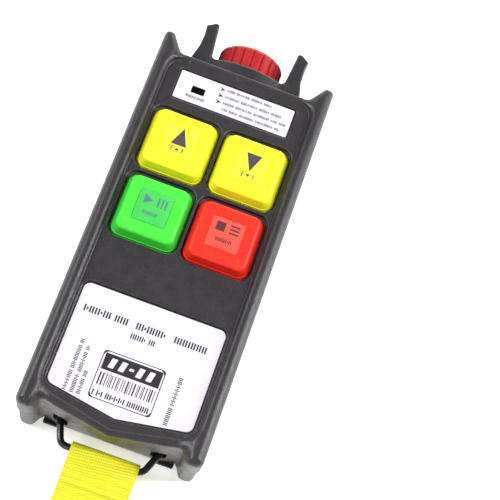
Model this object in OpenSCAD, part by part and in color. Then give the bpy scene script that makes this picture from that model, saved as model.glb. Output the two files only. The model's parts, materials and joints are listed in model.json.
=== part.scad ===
// Hand-held radio control station for a hoist: four keys, an end-mounted
// emergency-stop mushroom between guard prongs, and a webbing lanyard on a bail.
// It lies on its back. The origin is on the flat back face, +Z comes out of the
// key face, +Y runs towards the emergency stop and X is across the width.

/* [Housing] */
// Width over the side rails
body_w = 66; // [64:0.5:70]
// Height of the key face above the back
face_z = 35; // [34.5:0.1:36]
// Height of the side rails above the key face
rail_h = 2; // [1.2:0.1:3]
// Where the straight top edge of the front shell lies
top_y = 69.4; // [69.4:0.1:70]
// Reach of the corner horns past the middle of the housing
horn_y = 76.2; // [75:0.1:77]
// Reach of the corner feet past the middle of the housing
foot_y = 71.8; // [71:0.1:73]
// Height of the joint between the two shells
split_z = 22; // [21.5:0.1:22.5]

/* [Keys] */
// Distance between key columns
key_px = 26.7; // [26.6:0.05:27]
// Distance between key rows
key_py = 27.2; // [27:0.05:28]
// Middle of the upper key row
key_y1 = 34.4; // [34:0.1:35]
// Side of the square openings for the keys
key_open = 24.4; // [24:0.1:24.5]
// Side of the wider moat sunk round each key
key_moat = 25.7; // [25:0.1:26]
// Height of a key top above the key face
key_h = 3.4; // [3:0.1:4]
// Travel of a key
key_travel = 2.2; // [1.5:0.1:2.2]

/* [Emergency stop] */
// Diameter of the mushroom head
head_d = 26; // [24:0.1:26]
// Height of the mushroom's axis above the back
head_z = 17.5; // [17.3:0.1:17.7]
// Travel of the mushroom head
head_travel = 3.4; // [2:0.1:3.4]
// Reach of the guard prongs
prong_y = 89.5; // [88:0.1:91]

/* [Lanyard] */
// Width of the webbing
strap_w = 25; // [20:0.5:26]
// Diameter of the bail's rod
bail_d = 2.5; // [2:0.1:2.6]

/* [Hidden] */
$fn = 48;
e = 0.01;
hw = body_w / 2;
rail_z = face_z + rail_h;
ceil_z = face_z - 2.2;
kx = key_px / 2;
key_y2 = key_y1 - key_py;
board_z = 20.6;
board_t = 1.6;
board_top = board_z + board_t;
switch_h = 4;
guide_z = 27.4;
guide_t = 1.5;
bar_y = -75.8;
bar_z = 12.4;
bail_in_y = -62.5;
bail_out_x = 15.0;
bail_pin_x = 20.1;
door_hw = 24.4;
door_y1 = -3.2;
door_y0 = -67.0;
door_z = 1.3;
wall = 2.2;
screw_xy = [[27.2, 58], [-27.2, 58], [28.2, -56], [-28.2, -56]];
door_screw_y = -64.0;
strap_x = 1.2;

charcoal = [0.28, 0.27, 0.29];
yellow = [0.95, 0.93, 0.15];
steel = [0.75, 0.76, 0.78];

// ---------- shared shapes ----------

// A rounded square of half side h and corner radius r, exact
module rsq(h, r) {
  square([2 * h, 2 * (h - r)], center = true);
  square([2 * (h - r), 2 * h], center = true);
  for (sx = [-1, 1], sy = [-1, 1]) translate([sx * (h - r), sy * (h - r)]) circle(r);
}

// A rounded rectangle from corner a to corner b, exact
module rrect(a, b, r) {
  translate([a[0] + r, a[1]]) square([b[0] - a[0] - 2 * r, b[1] - a[1]]);
  translate([a[0], a[1] + r]) square([b[0] - a[0], b[1] - a[1] - 2 * r]);
  for (x = [a[0] + r, b[0] - r], y = [a[1] + r, b[1] - r]) translate([x, y]) circle(r);
}

module mirrored() { children(); mirror([1, 0, 0]) children(); }

// A rod from a to b
module rod(a, b, r) {
  d = b - a;
  l = norm(d);
  translate(a) rotate([0, acos(d[2] / l), atan2(d[1], d[0])]) cylinder(h = l, r = r);
}

// A round wire along points p, swept with n sides
function unit(v) = v / norm(v);
function dirs(p) = [for (i = [0:len(p) - 1])
  unit(i == 0 ? p[1] - p[0] : i == len(p) - 1 ? p[i] - p[i - 1] : unit(p[i + 1] - p[i]) + unit(p[i] - p[i - 1]))];
module wire(p, r, up, n = 6) {
  d = dirs(p);
  pts = [for (i = [0:len(p) - 1]) let(s = unit(cross(up, d[i])), t = cross(d[i], s))
    for (k = [0:n - 1]) p[i] + r * (cos(360 * k / n) * s + sin(360 * k / n) * t)];
  m = len(p);
  faces = concat(
    [[for (k = [n - 1:-1:0]) k]],
    [for (i = [0:m - 2], k = [0:n - 1]) let(a = i * n + k, b = i * n + (k + 1) % n) for (f = [[a, b, b + n], [a, b + n, a + n]]) f],
    [[for (k = [0:n - 1]) (m - 1) * n + k]]);
  polyhedron(points = pts, faces = [for (f = faces) [for (i = [len(f) - 1:-1:0]) f[i]]], convexity = 6);
}

// A coil spring about +Z from 0 to h
function coil(r0, r1, h, turns, per = 10) =
  [for (i = [0:turns * per]) let(t = i / (turns * per), a = 360 * turns * t, r = r0 + (r1 - r0) * t)
    [r * cos(a), r * sin(a), h * t]];
module spring(r0, r1, wire_r, h, turns, per = 10) {
  translate([0, 0, wire_r]) wire(coil(r0, r1, h - 2 * wire_r, turns, per), wire_r, [0, 0, 1], 6);
}

// ---------- housing ----------

// Plan outline of the front shell: horns at the top corners, feet at the
// bottom corners and a shallow vee between the feet
module front_plan() {
  polygon([[0, -foot_y], [18, -68.6], [24.4, -67.5], [26.2, -67.6], [27.0, -68.8], [hw, -68.8],
    [hw, horn_y - 1.9], [hw - 3.44, horn_y - 0.79], [25.9, 70.9], [24.9, 69.8], [23.8, top_y],
    [-23.8, top_y], [-24.9, 69.8], [-25.9, 70.9], [-hw + 3.44, horn_y - 0.79], [-hw, horn_y - 1.9],
    [-hw, -68.8], [-27.0, -68.8], [-26.2, -67.6], [-24.4, -67.5], [-18, -68.6]]);
  for (s = [-1, 1]) {
    translate([s * (hw - 1.9), horn_y - 1.9]) circle(1.9);
    translate([s * (hw - 3), -foot_y + 3]) circle(3);
  }
}

// Cross-section of the front shell: rounded outer top corners
module front_section() {
  r = 3.2;
  z0 = split_z + 0.3;
  translate([-hw, z0]) square([2 * hw, rail_z - r - z0]);
  translate([-hw + r, z0]) square([2 * (hw - r), rail_z - z0]);
  for (s = [-1, 1]) translate([s * (hw - r), rail_z - r]) circle(r);
}

// The sunk key face: a channel between the rails with rounded corners
module face_plan() {
  x = hw - 5.4;
  translate([-x + 7, -62]) square([2 * x - 14, 62 + 68]);
  translate([-x, -58.6]) square([2 * x, 58.6 + 61]);
  for (s = [-1, 1]) {
    translate([s * (x - 7), 61]) circle(7);
    translate([s * (x - 7), -58.6]) circle(7);
  }
  polygon([[-x + 5, -62], [-x + 7, -65.2], [0, -69.6], [x - 7, -65.2], [x - 5, -62]]);
}

// The rating label's outline, grown by g
module rating_plan(g = 0) {
  x = 25.7 + g;
  y1 = -24.4 + g;
  y0 = -61.4 - g;
  r = 2.4 + g;
  translate([-x, y0 + r]) square([2 * x, y1 - y0 - 2 * r]);
  translate([-x + r, y0]) square([2 * x - 2 * r, y1 - y0]);
  for (s = [-1, 1], y = [y0 + r, y1 - r]) translate([s * (x - r), y]) circle(r);
  polygon([[-x + r, y0 + 0.1], [-x + r, y0], [0, y0 - 4.3], [x - r, y0], [x - r, y0 + 0.1]]);
}

module status_plan(g = 0) {
  rrect([-22.1 - g, 52.1 - g], [21.6 + g, 63.4 + g], 0.6 + g);
}

module key_places() {
  for (x = [-kx, kx], y = [key_y1, key_y2]) translate([x, y, 0]) children();
}

module front_shell() color(charcoal) {
  z0 = split_z + 0.3;
  difference() {
    intersection() {
      translate([0, 0, z0]) linear_extrude(rail_z - z0) front_plan();
      translate([0, 90, 0]) rotate([90, 0, 0]) linear_extrude(180) front_section();
    }
    translate([0, 0, face_z]) linear_extrude(10) face_plan();
    // the low lips along the top and bottom edges
    translate([-22.5, 60, face_z + 0.5]) cube([45, 20, 10]);
    translate([-21, -80, face_z + 0.3]) cube([42, 20, 10]);
    // the inside
    translate([0, 0, z0 - 1]) linear_extrude(ceil_z - z0 + 1)
      rrect([-hw + wall, -66], [hw - wall, top_y - wall], 3);
    key_places() translate([0, 0, ceil_z - 1]) linear_extrude(10) rsq(key_open / 2, 3.4);
    key_places() translate([0, 0, face_z - 1.6]) linear_extrude(10) rsq(key_moat / 2, 3.9);
    translate([0, 0, face_z - 0.8]) linear_extrude(5) rating_plan(0.55);
    translate([0, 0, face_z - 0.75]) linear_extrude(5) status_plan(0.3);
    translate([-14 - 2.5, 57.5 - 1.4, ceil_z - 1]) cube([5, 2.8, 5]);
    translate([0, 60, head_z]) rotate([-90, 0, 0]) cylinder(h = 20, r = 7.2);
  }
  // screw bosses
  for (p = screw_xy) translate([p[0], p[1], z0]) difference() {
    cylinder(h = ceil_z - z0 + 0.5, r = 3.3);
    translate([0, 0, -1]) cylinder(h = 9, r = 1.5);
  }
}

// Plan outline of the rear shell, a little inside the front shell
module rear_plan() {
  w = hw - 0.4;
  polygon([[0, -71.2], [18, -68.0], [24.4, -66.9], [26.4, -67.0], [27.4, -68.4], [w, -68.4],
    [w, 73.8], [w - 3.44, 74.91], [26.0, 70.8], [25.0, 69.7], [24.0, top_y],
    [-24.0, top_y], [-25.0, 69.7], [-26.0, 70.8], [-w + 3.44, 74.91], [-w, 73.8],
    [-w, -68.4], [-27.4, -68.4], [-26.4, -67.0], [-24.4, -66.9], [-18, -68.0]]);
  for (s = [-1, 1]) {
    translate([s * (w - 1.9), 73.8]) circle(1.9);
    translate([s * (w - 2.8), -68.4]) circle(2.8);
  }
}

module rear_section() {
  r = 3.4;
  w = hw - 0.4;
  translate([-w, r]) square([2 * w, split_z - 0.3 - r]);
  translate([-w + r, 0]) square([2 * (w - r), split_z - 0.3]);
  for (s = [-1, 1]) translate([s * (w - r), r]) circle(r);
}

// Side profile: the bottom end slopes in towards the back
module rear_side() {
  polygon([[-71.3, split_z - 0.3], [-70.9, 2], [-70.2, 0.6], [-69.2, 0], [73.6, 0], [74.8, 0.6], [75.4, 2], [75.7, split_z - 0.3]]);
}

module bay() {
  // battery bay, open to the back
  translate([-16.6, -60.6, -1]) cube([33.2, 55.4, 19.2]);
}

module rear_shell() color(charcoal * 0.92) {
  zt = split_z - 0.3;
  difference() {
    union() {
      difference() {
        intersection() {
          linear_extrude(zt) rear_plan();
          translate([0, 90, 0]) rotate([90, 0, 0]) linear_extrude(180) rear_section();
          translate([-50, 0, 0]) rotate([90, 0, 90]) linear_extrude(100) rear_side();
        }
        // the bottom end leans in between the feet
        translate([-24.5, 0, 0]) rotate([90, 0, 90]) linear_extrude(49)
          polygon([[-80, -1], [-67.5, -1], [-67.5, 0], [-71.6, zt], [-71.6, zt + 1], [-80, zt + 1]]);
        // the inside
        translate([0, 0, wall]) linear_extrude(30) rrect([-hw + wall + 0.4, -65.8], [hw - wall - 0.4, 66.4], 3);
      }
      // battery bay walls and the floor the door lies against
      translate([-18.2, -62.2, 0.5]) cube([36.4, 58.6, 19.3]);
      translate([-25.6, -66.2, 0.5]) cube([51.2, 65.2, 3.7]);
      // web behind the door screw
      translate([-4, -66.2, 0.5]) cube([8, 5, 11]);
      for (p = screw_xy) translate([p[0], p[1], 0.5]) cylinder(h = zt - 0.5, r = 3.9);
    }
    bay();
    // recess for the battery door, open at the bottom end
    translate([-door_hw - 0.3, -75, -1]) cube([2 * door_hw + 0.6, 75 - 1.9, 1 + 2.6]);
    // sockets for the door's hinge pins
    translate([-26.6, door_y1, door_z]) rotate([0, 90, 0]) cylinder(h = 53.2, r = 0.75);
    translate([0, door_screw_y, -1]) cylinder(h = 11, r = 2.4);
    for (p = screw_xy) translate([p[0], p[1], -1]) {
      cylinder(h = 14, r = 2.7);
      cylinder(h = 40, r = 1.6);
    }
    translate([0, 60, head_z]) rotate([-90, 0, 0]) cylinder(h = 20, r = 7.2);
    // slots for the bail
    for (s = [-1, 1]) translate([s * 18 - 2.7, -75, bar_z - 4.4]) cube([5.4, 9.6, 8.8]);
  }
}

module gasket_plan(g) {
  rrect([-hw + 0.9 + g, -66.4 + g], [hw - 0.9 - g, 68.2 - g], 3.4 - g);
}

module housing_gasket() color([0.1, 0.1, 0.1]) translate([0, 0, split_z - 0.3]) difference() {
  linear_extrude(0.6) gasket_plan(0);
  translate([0, 0, -1]) linear_extrude(3) gasket_plan(1.1);
  translate([-9, 60, -1]) cube([18, 20, 3]);
}

// ---------- emergency stop ----------

// The end collar: an arched block with a cup for the mushroom, and the prongs
module prong_plan() {
  polygon([[14.2, 75.0], [15.0, 82.4], [15.9, prong_y - 0.4], [16.3, prong_y], [16.9, prong_y - 0.1],
    [20.0, prong_y - 1.7], [20.3, prong_y - 2.3], [20.0, 84], [20.0, 81], [20.4, 77.4], [21.2, 73.6],
    [21.6, 70.5], [14.2, 70.5]]);
}

module estop_guard() color(charcoal * 0.85) {
  difference() {
    union() {
      intersection() {
        translate([-21.5, top_y + 0.05, 2.2]) cube([43, 75.2 - top_y - 0.05, 40]);
        translate([0, 60, 32.6 - 26.5]) rotate([-90, 0, 0]) cylinder(h = 30, r = 26.5, $fn = 96);
      }
      mirrored() translate([0, 0, 7]) linear_extrude(22) prong_plan();
    }
    translate([0, 71.2, head_z]) rotate([-90, 0, 0]) cylinder(h = 20, r = head_d / 2 + 0.6, $fn = 72);
    translate([0, 60, head_z]) rotate([-90, 0, 0]) cylinder(h = 20, r = 7.05);
  }
}

module about_stop(y) { translate([0, y, head_z]) rotate([-90, 0, 0]) children(); }

// Mushroom head, fluted on its side, hollow underneath
module estop_head() color([0.75, 0.13, 0.12]) about_stop(75.1) {
  r = head_d / 2;
  difference() {
    union() {
      rotate_extrude($fn = 72) polygon([[0, 0.4], [r - 0.5, 0], [r - 0.4, 0], [r - 0.4, 8.6],
        [r - 0.9, 9.5], [r - 2.4, 10.2], [r - 6, 10.8], [0, 11.1]]);
      for (a = [0:15:345]) rotate([0, 0, a]) translate([r - 0.75, 0, 0]) cylinder(h = 8.7, r = 0.75, $fn = 24);
    }
    difference() {
      translate([0, 0, -1]) cylinder(h = 5.6, r = r - 2.2);
      translate([0, 0, 1.4]) cylinder(h = 8, r = 5);
    }
    translate([0, 0, -1]) cylinder(h = 9, r = 3.05);
  }
}

module estop_stem() color(steel) {
  about_stop(51.8) cylinder(h = 31.2, r = 3);
}

module estop_bushing() color([0.2, 0.2, 0.21]) {
  difference() {
    union() {
      about_stop(58.6) cylinder(h = 13.4, r = 7);
      about_stop(71.2) cylinder(h = 1.2, r = 10);
    }
    about_stop(50) cylinder(h = 30, r = 3.05);
  }
}

module estop_nut() color(steel) difference() {
  about_stop(62.6) cylinder(h = 3.6, r = 10.4, $fn = 6);
  about_stop(60) cylinder(h = 10, r = 7.02);
}

module estop_spring() color(steel) about_stop(72.45) spring(6.6, 6.6, 0.4, 6.9, 4, 12);

module estop_contact_block() color([0.15, 0.15, 0.16]) difference() {
  union() {
    translate([-9, 44.6, 9]) cube([18, 13.8, 17]);
    translate([-11, 46.5, 12]) cube([22, 3, 8]);
  }
  about_stop(47.4) cylinder(h = 20, r = 3.3);
}

module estop_leads() color([0.8, 0.1, 0.1]) {
  wire([[-4.5, 44.5, 24], [-4.6, 42.5, 24.2], [-5.3, 40.4, 24.6], [-6.2, 38.9, 24.4], [-6.6, 38.2, 23.6], [-6.6, 38.2, board_top + 0.02]], 0.45, [1, 0, 0.2], 8);
  wire([[4.5, 44.5, 24], [4.6, 42.5, 24.2], [5.3, 40.4, 24.6], [6.2, 38.9, 24.4], [6.6, 38.2, 23.6], [6.6, 38.2, board_top + 0.02]], 0.45, [1, 0, 0.2], 8);
}

// ---------- labels and lamp ----------

module rating_label() color([0.93, 0.92, 0.94]) translate([0, 0, face_z - 0.8]) linear_extrude(0.35) rating_plan(0);

module status_label() color([0.93, 0.92, 0.94]) translate([0, 0, face_z - 0.75]) difference() {
  linear_extrude(0.4) status_plan(0);
  translate([-16.5, 56.1, -1]) cube([5, 2.8, 3]);
}

module led_window() color([0.05, 0.05, 0.06]) translate([-16.4, 56.2, ceil_z - 0.6]) cube([4.8, 2.6, face_z - ceil_z + 0.3]);

module status_led() color([0.9, 0.95, 0.9]) translate([-14, 57.5, board_top]) {
  cylinder(h = 7.4, r = 1.2);
  translate([0, 0, 7.4]) sphere(1.2);
}

// ---------- keys ----------

// One key: a tapered cap with a retaining flange, hollow underneath
module key_cap(x, y) translate([x, y, 0]) {
  top = face_z + key_h;
  difference() {
    union() {
      translate([0, 0, ceil_z - 1.2]) linear_extrude(1.0) rsq(key_open / 2 + 0.45, 3.2);
      translate([0, 0, ceil_z - 1]) linear_extrude(face_z - 0.4 - ceil_z + 1) rsq(11.6, 3.1);
      hull() {
        for (sx = [-1, 1], sy = [-1, 1]) {
          translate([sx * 8.5, sy * 8.5, face_z - 0.5]) cylinder(h = 0.6, r = 3.1, $fn = 32);
          translate([sx * 7.5, sy * 7.5, top - 0.3]) cylinder(h = 0.3, r = 2.2, $fn = 32);
          translate([sx * 7.9, sy * 7.9, top - 1.2]) cylinder(h = 0.3, r = 2.7, $fn = 32);
        }
      }
    }
    translate([0, 0, ceil_z - 2]) linear_extrude(top - 1.6 - ceil_z + 2) rsq(8.6, 2);
    translate([0, 0, top - 0.35]) linear_extrude(1) rrect([-6.2, -5.7], [6.2, 6.3], 0.7);
  }
}

// The printed legend plate on a key
module key_insert(x, y) translate([x, y, face_z + key_h - 0.35]) linear_extrude(0.55) rrect([-6.1, -5.6], [6.1, 6.2], 0.6);

module plunger(x, y) color([0.9, 0.9, 0.88]) translate([x, y, 0]) {
  translate([0, 0, board_top + 3.2]) cylinder(h = face_z + key_h - 1.6 - board_top - 3.2, r = 1.5);
  translate([0, 0, face_z + key_h - 2.6]) cylinder(h = 1, r = 4.2);
}

module key_spring(x, y) color(steel) translate([x, y, guide_z + guide_t + 0.03])
  spring(2.8, 2.8, 0.3, face_z + key_h - 2.6 - guide_z - guide_t - 0.06, 4, 10);

module up_key() color(yellow) key_cap(-kx, key_y1);
module down_key() color(yellow) key_cap(kx, key_y1);
module start_key() color([0.25, 0.85, 0.25]) key_cap(-kx, key_y2);
module stop_key() color([0.9, 0.2, 0.13]) key_cap(kx, key_y2);
module up_insert() color([0.97, 0.96, 0.35]) key_insert(-kx, key_y1);
module down_insert() color([0.97, 0.96, 0.35]) key_insert(kx, key_y1);
module start_insert() color([0.4, 0.75, 0.6]) key_insert(-kx, key_y2);
module stop_insert() color([0.95, 0.4, 0.35]) key_insert(kx, key_y2);
module up_plunger() plunger(-kx, key_y1);
module down_plunger() plunger(kx, key_y1);
module start_plunger() plunger(-kx, key_y2);
module stop_plunger() plunger(kx, key_y2);
module up_spring() key_spring(-kx, key_y1);
module down_spring() key_spring(kx, key_y1);
module start_spring() key_spring(-kx, key_y2);
module stop_spring() key_spring(kx, key_y2);

// Tray under the keys that guides the plungers
module key_guide_plate() color([0.35, 0.35, 0.36]) difference() {
  union() {
    translate([-28.6, key_y2 - 15, guide_z]) cube([57.2, key_py + 29, guide_t]);
    for (s = [-1, 1]) translate([s * 27.7 - 0.9, key_y2 - 15, guide_z]) cube([1.8, key_py + 29, ceil_z - guide_z]);
  }
  key_places() translate([0, 0, guide_z - 1]) cylinder(h = 5, r = 1.55);
}

module key_seal_mat() color([0.6, 0.6, 0.62]) difference() {
  translate([-27.8, key_y2 - 14, guide_z - 0.5]) cube([55.6, key_py + 27, 0.5]);
  key_places() translate([0, 0, guide_z - 2]) cylinder(h = 5, r = 1.8);
}

// Four identical tactile switches
module key_switches() color([0.12, 0.12, 0.13]) key_places() difference() {
  union() {
    translate([-6, -6, board_top]) cube([12, 12, switch_h - 0.6]);
    translate([0, 0, board_top]) cylinder(h = switch_h, r = 3.4);
  }
  translate([0, 0, board_top + 0.4]) cylinder(h = 10, r = 1.55);
}

// ---------- electronics ----------

module main_board() color([0.05, 0.35, 0.15]) translate([0, 0, board_z]) linear_extrude(board_t) {
  translate([-22.8, -58]) square([45.6, 101.5]);
  translate([-22.8, 43]) square([11.8, 20]);
}

module radio_module() color([0.8, 0.8, 0.82]) translate([6, -22, board_top]) {
  cube([16, 14, 0.8]);
  translate([1, 1, 0.8]) cube([14, 10, 2.2]);
}

module controller_chip() color([0.1, 0.1, 0.11]) {
  translate([-18, -24, board_top]) cube([10, 10, 1.6]);
  for (i = [-4:4], s = [-1, 1]) translate([-13 + s * 5.6 - 0.7, -19 + i * 1.05 - 0.2, board_top]) cube([1.4, 0.4, 0.5]);
}

module antenna_coil() color([0.85, 0.6, 0.25]) translate([14, -52, board_top + 3.1]) rotate([-90, 0, 0]) spring(2.4, 2.4, 0.4, 26, 6, 18);

// ---------- battery ----------

module cell(x, s) {
  translate([x, -32.9, 10.4]) rotate([s * 90, 0, 0]) translate([0, 0, -25]) {
    cylinder(h = 48.8, r = 7.1);
    cylinder(h = 50, r = 2.7);
  }
}

module battery_left() color([0.15, 0.35, 0.6]) cell(-8.2, 1);
module battery_right() color([0.15, 0.35, 0.6]) cell(8.2, -1);

// Springs at the cells' flat ends
module battery_springs() color(steel) {
  translate([-8.2, -5.4, 10.4]) rotate([90, 0, 0]) spring(4.6, 2.6, 0.4, 2.3, 2.5, 12);
  translate([8.2, -60.4, 10.4]) rotate([-90, 0, 0]) spring(4.6, 2.6, 0.4, 2.3, 2.5, 12);
}

// Plates at the ends of the bay
module battery_contacts() color(steel) {
  translate([-15, -60.6, 5]) cube([13, 0.2, 11]);
  translate([2, -60.6, 5]) cube([13, 0.2, 11]);
  translate([-15, -5.4, 5]) cube([30, 0.2, 11]);
  translate([-8.2, -60.5, 10.4]) rotate([-90, 0, 0]) cylinder(h = 2.55, r = 3);
  translate([8.2, -5.3, 10.4]) rotate([90, 0, 0]) cylinder(h = 2.55, r = 3);
}

module battery_leads() color([0.8, 0.1, 0.1]) {
  for (x = [-14, 14]) wire([[x, -62.22, 8], [x, -62.8, 8], [x, -63.5, 8.8], [x, -63.8, 11], [x, -63.8, 15], [x, -63.4, 19],
    [x, -62.2, 22.4], [x, -60.2, 24], [x, -58, 24.4], [x, -56.8, 23.9], [x, -56.5, 23.2], [x, -56.5, board_top + 0.02]], 0.5, [1, 0, 0], 8);
}

// Battery door: hinge pins at its upper edge, two finger tabs at the lower end
module battery_door() color(charcoal) {
  difference() {
    union() {
      translate([-door_hw, door_y0, 0.1]) cube([2 * door_hw, door_y1 - door_y0, 2.2]);
      translate([-door_hw, door_y1, door_z]) rotate([0, 90, 0]) cylinder(h = 2 * door_hw, r = 1.2);
      translate([-door_hw - 1.9, door_y1, door_z]) rotate([0, 90, 0]) cylinder(h = 2 * door_hw + 3.8, r = 0.7);
      for (s = [-1, 1]) translate([s * 20.9 - 3.5, -68.8, 0.1]) cube([7, 3, 1.8]);
    }
    translate([0, door_screw_y, -1]) cylinder(h = 5, r = 1.8);
    translate([0, door_screw_y, -1]) cylinder(h = 2.1, r = 3.2);
    // grip grooves
    for (i = [0:5]) translate([-11, -12 - i * 2.2, 0]) cube([22, 1.1, 0.5]);
  }
}

module door_seal() color([0.1, 0.1, 0.1]) translate([0, 0, 2.3]) linear_extrude(0.3) difference() {
  rrect([-18.4, -61.9], [18.4, -4.4], 2);
  rrect([-17.2, -60.9], [17.2, -5.4], 1.4);
}

module door_screw() color(steel) translate([0, door_screw_y, 0]) difference() {
  union() {
    translate([0, 0, 0.25]) cylinder(h = 0.8, r = 3);
    translate([0, 0, 0.9]) cylinder(h = 5, r = 1.5);
  }
  translate([-2.6, -0.5, -1]) cube([5.2, 1, 1.7]);
}

module door_insert() color([0.8, 0.65, 0.3]) translate([0, door_screw_y, 3]) difference() {
  cylinder(h = 6, r = 2.4);
  translate([0, 0, -1]) cylinder(h = 5, r = 1.9);
}

// Four identical pan-head screws that hold the shells together
module case_screws() color(steel) for (p = screw_xy) translate([p[0], p[1], 0]) difference() {
  union() {
    translate([0, 0, 11]) cylinder(h = 2, r = 2.6);
    translate([0, 0, 12.5]) cylinder(h = 16.5, r = 1.45);
  }
  translate([0, 0, 11.8]) for (a = [0, 90]) rotate([0, 0, a]) cube([3, 0.7, 2], center = true);
}

// ---------- lanyard ----------

// Blocks inside the bottom wall that carry the bail's pins
module bail_brackets() color([0.2, 0.2, 0.2]) mirrored() difference() {
  translate([21.8, -65.6, bar_z - 4]) cube([3.2, 6.2, 8]);
  translate([20, bail_in_y, bar_z]) rotate([0, 90, 0]) cylinder(h = 10, r = bail_d / 2 - 0.1);
}

// One round rod, bent: along the bar, up the slanting legs and out into the pins
function arc(c, r, a0, da, n = 6) = [for (i = [0:n]) [c[0] + r * cos(a0 + da * i / n), c[1] + r * sin(a0 + da * i / n), c[2]]];
module bail() color([0.07, 0.07, 0.09]) {
  dx = bail_pin_x - bail_out_x;
  dy = bail_in_y - bar_y;
  da = atan2(dy, dx);
  t1 = 3 * tan(da / 2);
  t2 = 1.8 * tan(da / 2);
  half = concat(
    arc([bail_out_x - t1, bar_y + 3, bar_z], 3, -90, da),
    arc([bail_pin_x + t2, bail_in_y - 1.8, bar_z], 1.8, 90 + da, -da),
    [[21.6, bail_in_y, bar_z]]);
  path = concat([for (i = [len(half) - 1:-1:0]) [-half[i][0], half[i][1], half[i][2]]], half);
  wire(path, bail_d / 2, [0, 0, 1], 12);
  for (s = [-1, 1]) translate([s * 22.4, bail_in_y, bar_z]) rotate([0, 90, 0]) cylinder(h = 3.6, r = bail_d / 2 - 0.15, center = true);
}

// The webbing, folded to and fro into a flat hank: its outer shape
module strap() color([0.93, 0.9, 0.1]) {
  w = strap_w;
  difference() {
    union() {
      translate([strap_x - w / 2, bar_y, bar_z]) rotate([0, 90, 0]) cylinder(h = w, r = 3.4);
      hull() {
        translate([strap_x - w / 2, bar_y - 3.4, bar_z - 3]) cube([w, 3, 6]);
        translate([strap_x - w / 2, bar_y - 19, 0]) cube([w, 3, 10]);
      }
      translate([strap_x - w / 2, -196, 0]) cube([w, 105, 10]);
    }
    translate([strap_x - w, bar_y, bar_z]) rotate([0, 90, 0]) cylinder(h = 2 * w, r = bail_d / 2 + 0.3);
    // the tie's groove underneath
    translate([strap_x - w, -117.01, -1]) cube([2 * w, 3.02, 1.5]);
  }
}

module strap_tie() color([0.9, 0.9, 0.9]) difference() {
  translate([strap_x - strap_w / 2 - 0.7, -117, 0]) cube([strap_w + 1.4, 3, 10.7]);
  translate([strap_x - strap_w / 2, -118, 0.5]) cube([strap_w, 5, 9.5]);
}

// ---------- assembly ----------

front_shell();
rear_shell();
housing_gasket();
estop_guard();
status_label();
rating_label();
led_window();
status_led();
up_key();
down_key();
start_key();
stop_key();
up_insert();
down_insert();
start_insert();
stop_insert();
up_plunger();
down_plunger();
start_plunger();
stop_plunger();
up_spring();
down_spring();
start_spring();
stop_spring();
key_guide_plate();
key_seal_mat();
key_switches();
main_board();
radio_module();
controller_chip();
antenna_coil();
estop_head();
estop_stem();
estop_bushing();
estop_nut();
estop_spring();
estop_contact_block();
estop_leads();
battery_left();
battery_right();
battery_springs();
battery_contacts();
battery_leads();
battery_door();
door_seal();
door_screw();
door_insert();
case_screws();
bail_brackets();
bail();
strap();
strap_tie();
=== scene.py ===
import json
import math
import random

import bpy
import bmesh
import numpy as np
from mathutils import Matrix, Vector

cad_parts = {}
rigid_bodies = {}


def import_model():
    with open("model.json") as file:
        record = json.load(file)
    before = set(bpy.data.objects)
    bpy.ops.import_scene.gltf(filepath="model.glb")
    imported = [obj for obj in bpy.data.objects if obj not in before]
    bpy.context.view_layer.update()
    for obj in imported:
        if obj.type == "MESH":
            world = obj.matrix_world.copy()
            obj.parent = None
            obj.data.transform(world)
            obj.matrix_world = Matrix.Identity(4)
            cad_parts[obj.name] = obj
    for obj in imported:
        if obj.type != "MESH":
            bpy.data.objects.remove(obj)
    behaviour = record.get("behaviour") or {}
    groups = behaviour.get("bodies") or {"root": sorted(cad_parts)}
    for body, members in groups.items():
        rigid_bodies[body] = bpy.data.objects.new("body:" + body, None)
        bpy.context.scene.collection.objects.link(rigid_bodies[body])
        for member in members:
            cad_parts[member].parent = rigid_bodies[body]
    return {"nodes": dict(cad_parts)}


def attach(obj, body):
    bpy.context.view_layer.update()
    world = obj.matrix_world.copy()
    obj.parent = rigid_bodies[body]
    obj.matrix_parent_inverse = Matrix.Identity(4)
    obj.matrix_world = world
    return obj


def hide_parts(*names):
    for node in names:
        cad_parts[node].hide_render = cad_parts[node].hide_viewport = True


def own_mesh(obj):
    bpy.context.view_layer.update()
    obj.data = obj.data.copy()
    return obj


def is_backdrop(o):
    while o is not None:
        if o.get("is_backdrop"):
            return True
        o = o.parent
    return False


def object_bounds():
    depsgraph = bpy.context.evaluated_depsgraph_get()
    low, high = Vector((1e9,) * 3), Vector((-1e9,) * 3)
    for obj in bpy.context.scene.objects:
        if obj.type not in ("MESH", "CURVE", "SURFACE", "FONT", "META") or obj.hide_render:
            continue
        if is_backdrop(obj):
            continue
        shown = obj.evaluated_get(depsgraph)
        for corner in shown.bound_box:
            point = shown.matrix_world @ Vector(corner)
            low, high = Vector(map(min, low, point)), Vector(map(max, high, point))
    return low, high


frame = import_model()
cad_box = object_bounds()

MM = 0.001
scene = bpy.context.scene

# ---------------------------------------------------------------- camera

C_POS = Vector((14.625, -154.226, 470.671)) * MM
C_RIGHT = Vector((0.9380026, 0.3151056, 0.1444284))
C_DOWN = Vector((0.3456341, -0.8817871, -0.3209184))
C_FWD = Vector((0.0262319, 0.3509417, -0.9360298))
cam_data = bpy.data.cameras.new("camera")
cam = bpy.data.objects.new("camera", cam_data)
scene.collection.objects.link(cam)
m = Matrix.Identity(4)
for i in range(3):
    m[i][0], m[i][1], m[i][2], m[i][3] = C_RIGHT[i], -C_DOWN[i], -C_FWD[i], C_POS[i]
cam.matrix_world = m
cam_data.sensor_width = 36.0
cam_data.lens = 36.0 * 1326.4 / 500
cam_data.shift_x = (250 - 261.74) / 500
cam_data.shift_y = -(250 - 246.97) / 500
cam_data.clip_start = 0.01
cam_data.clip_end = 10
scene.camera = cam

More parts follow.
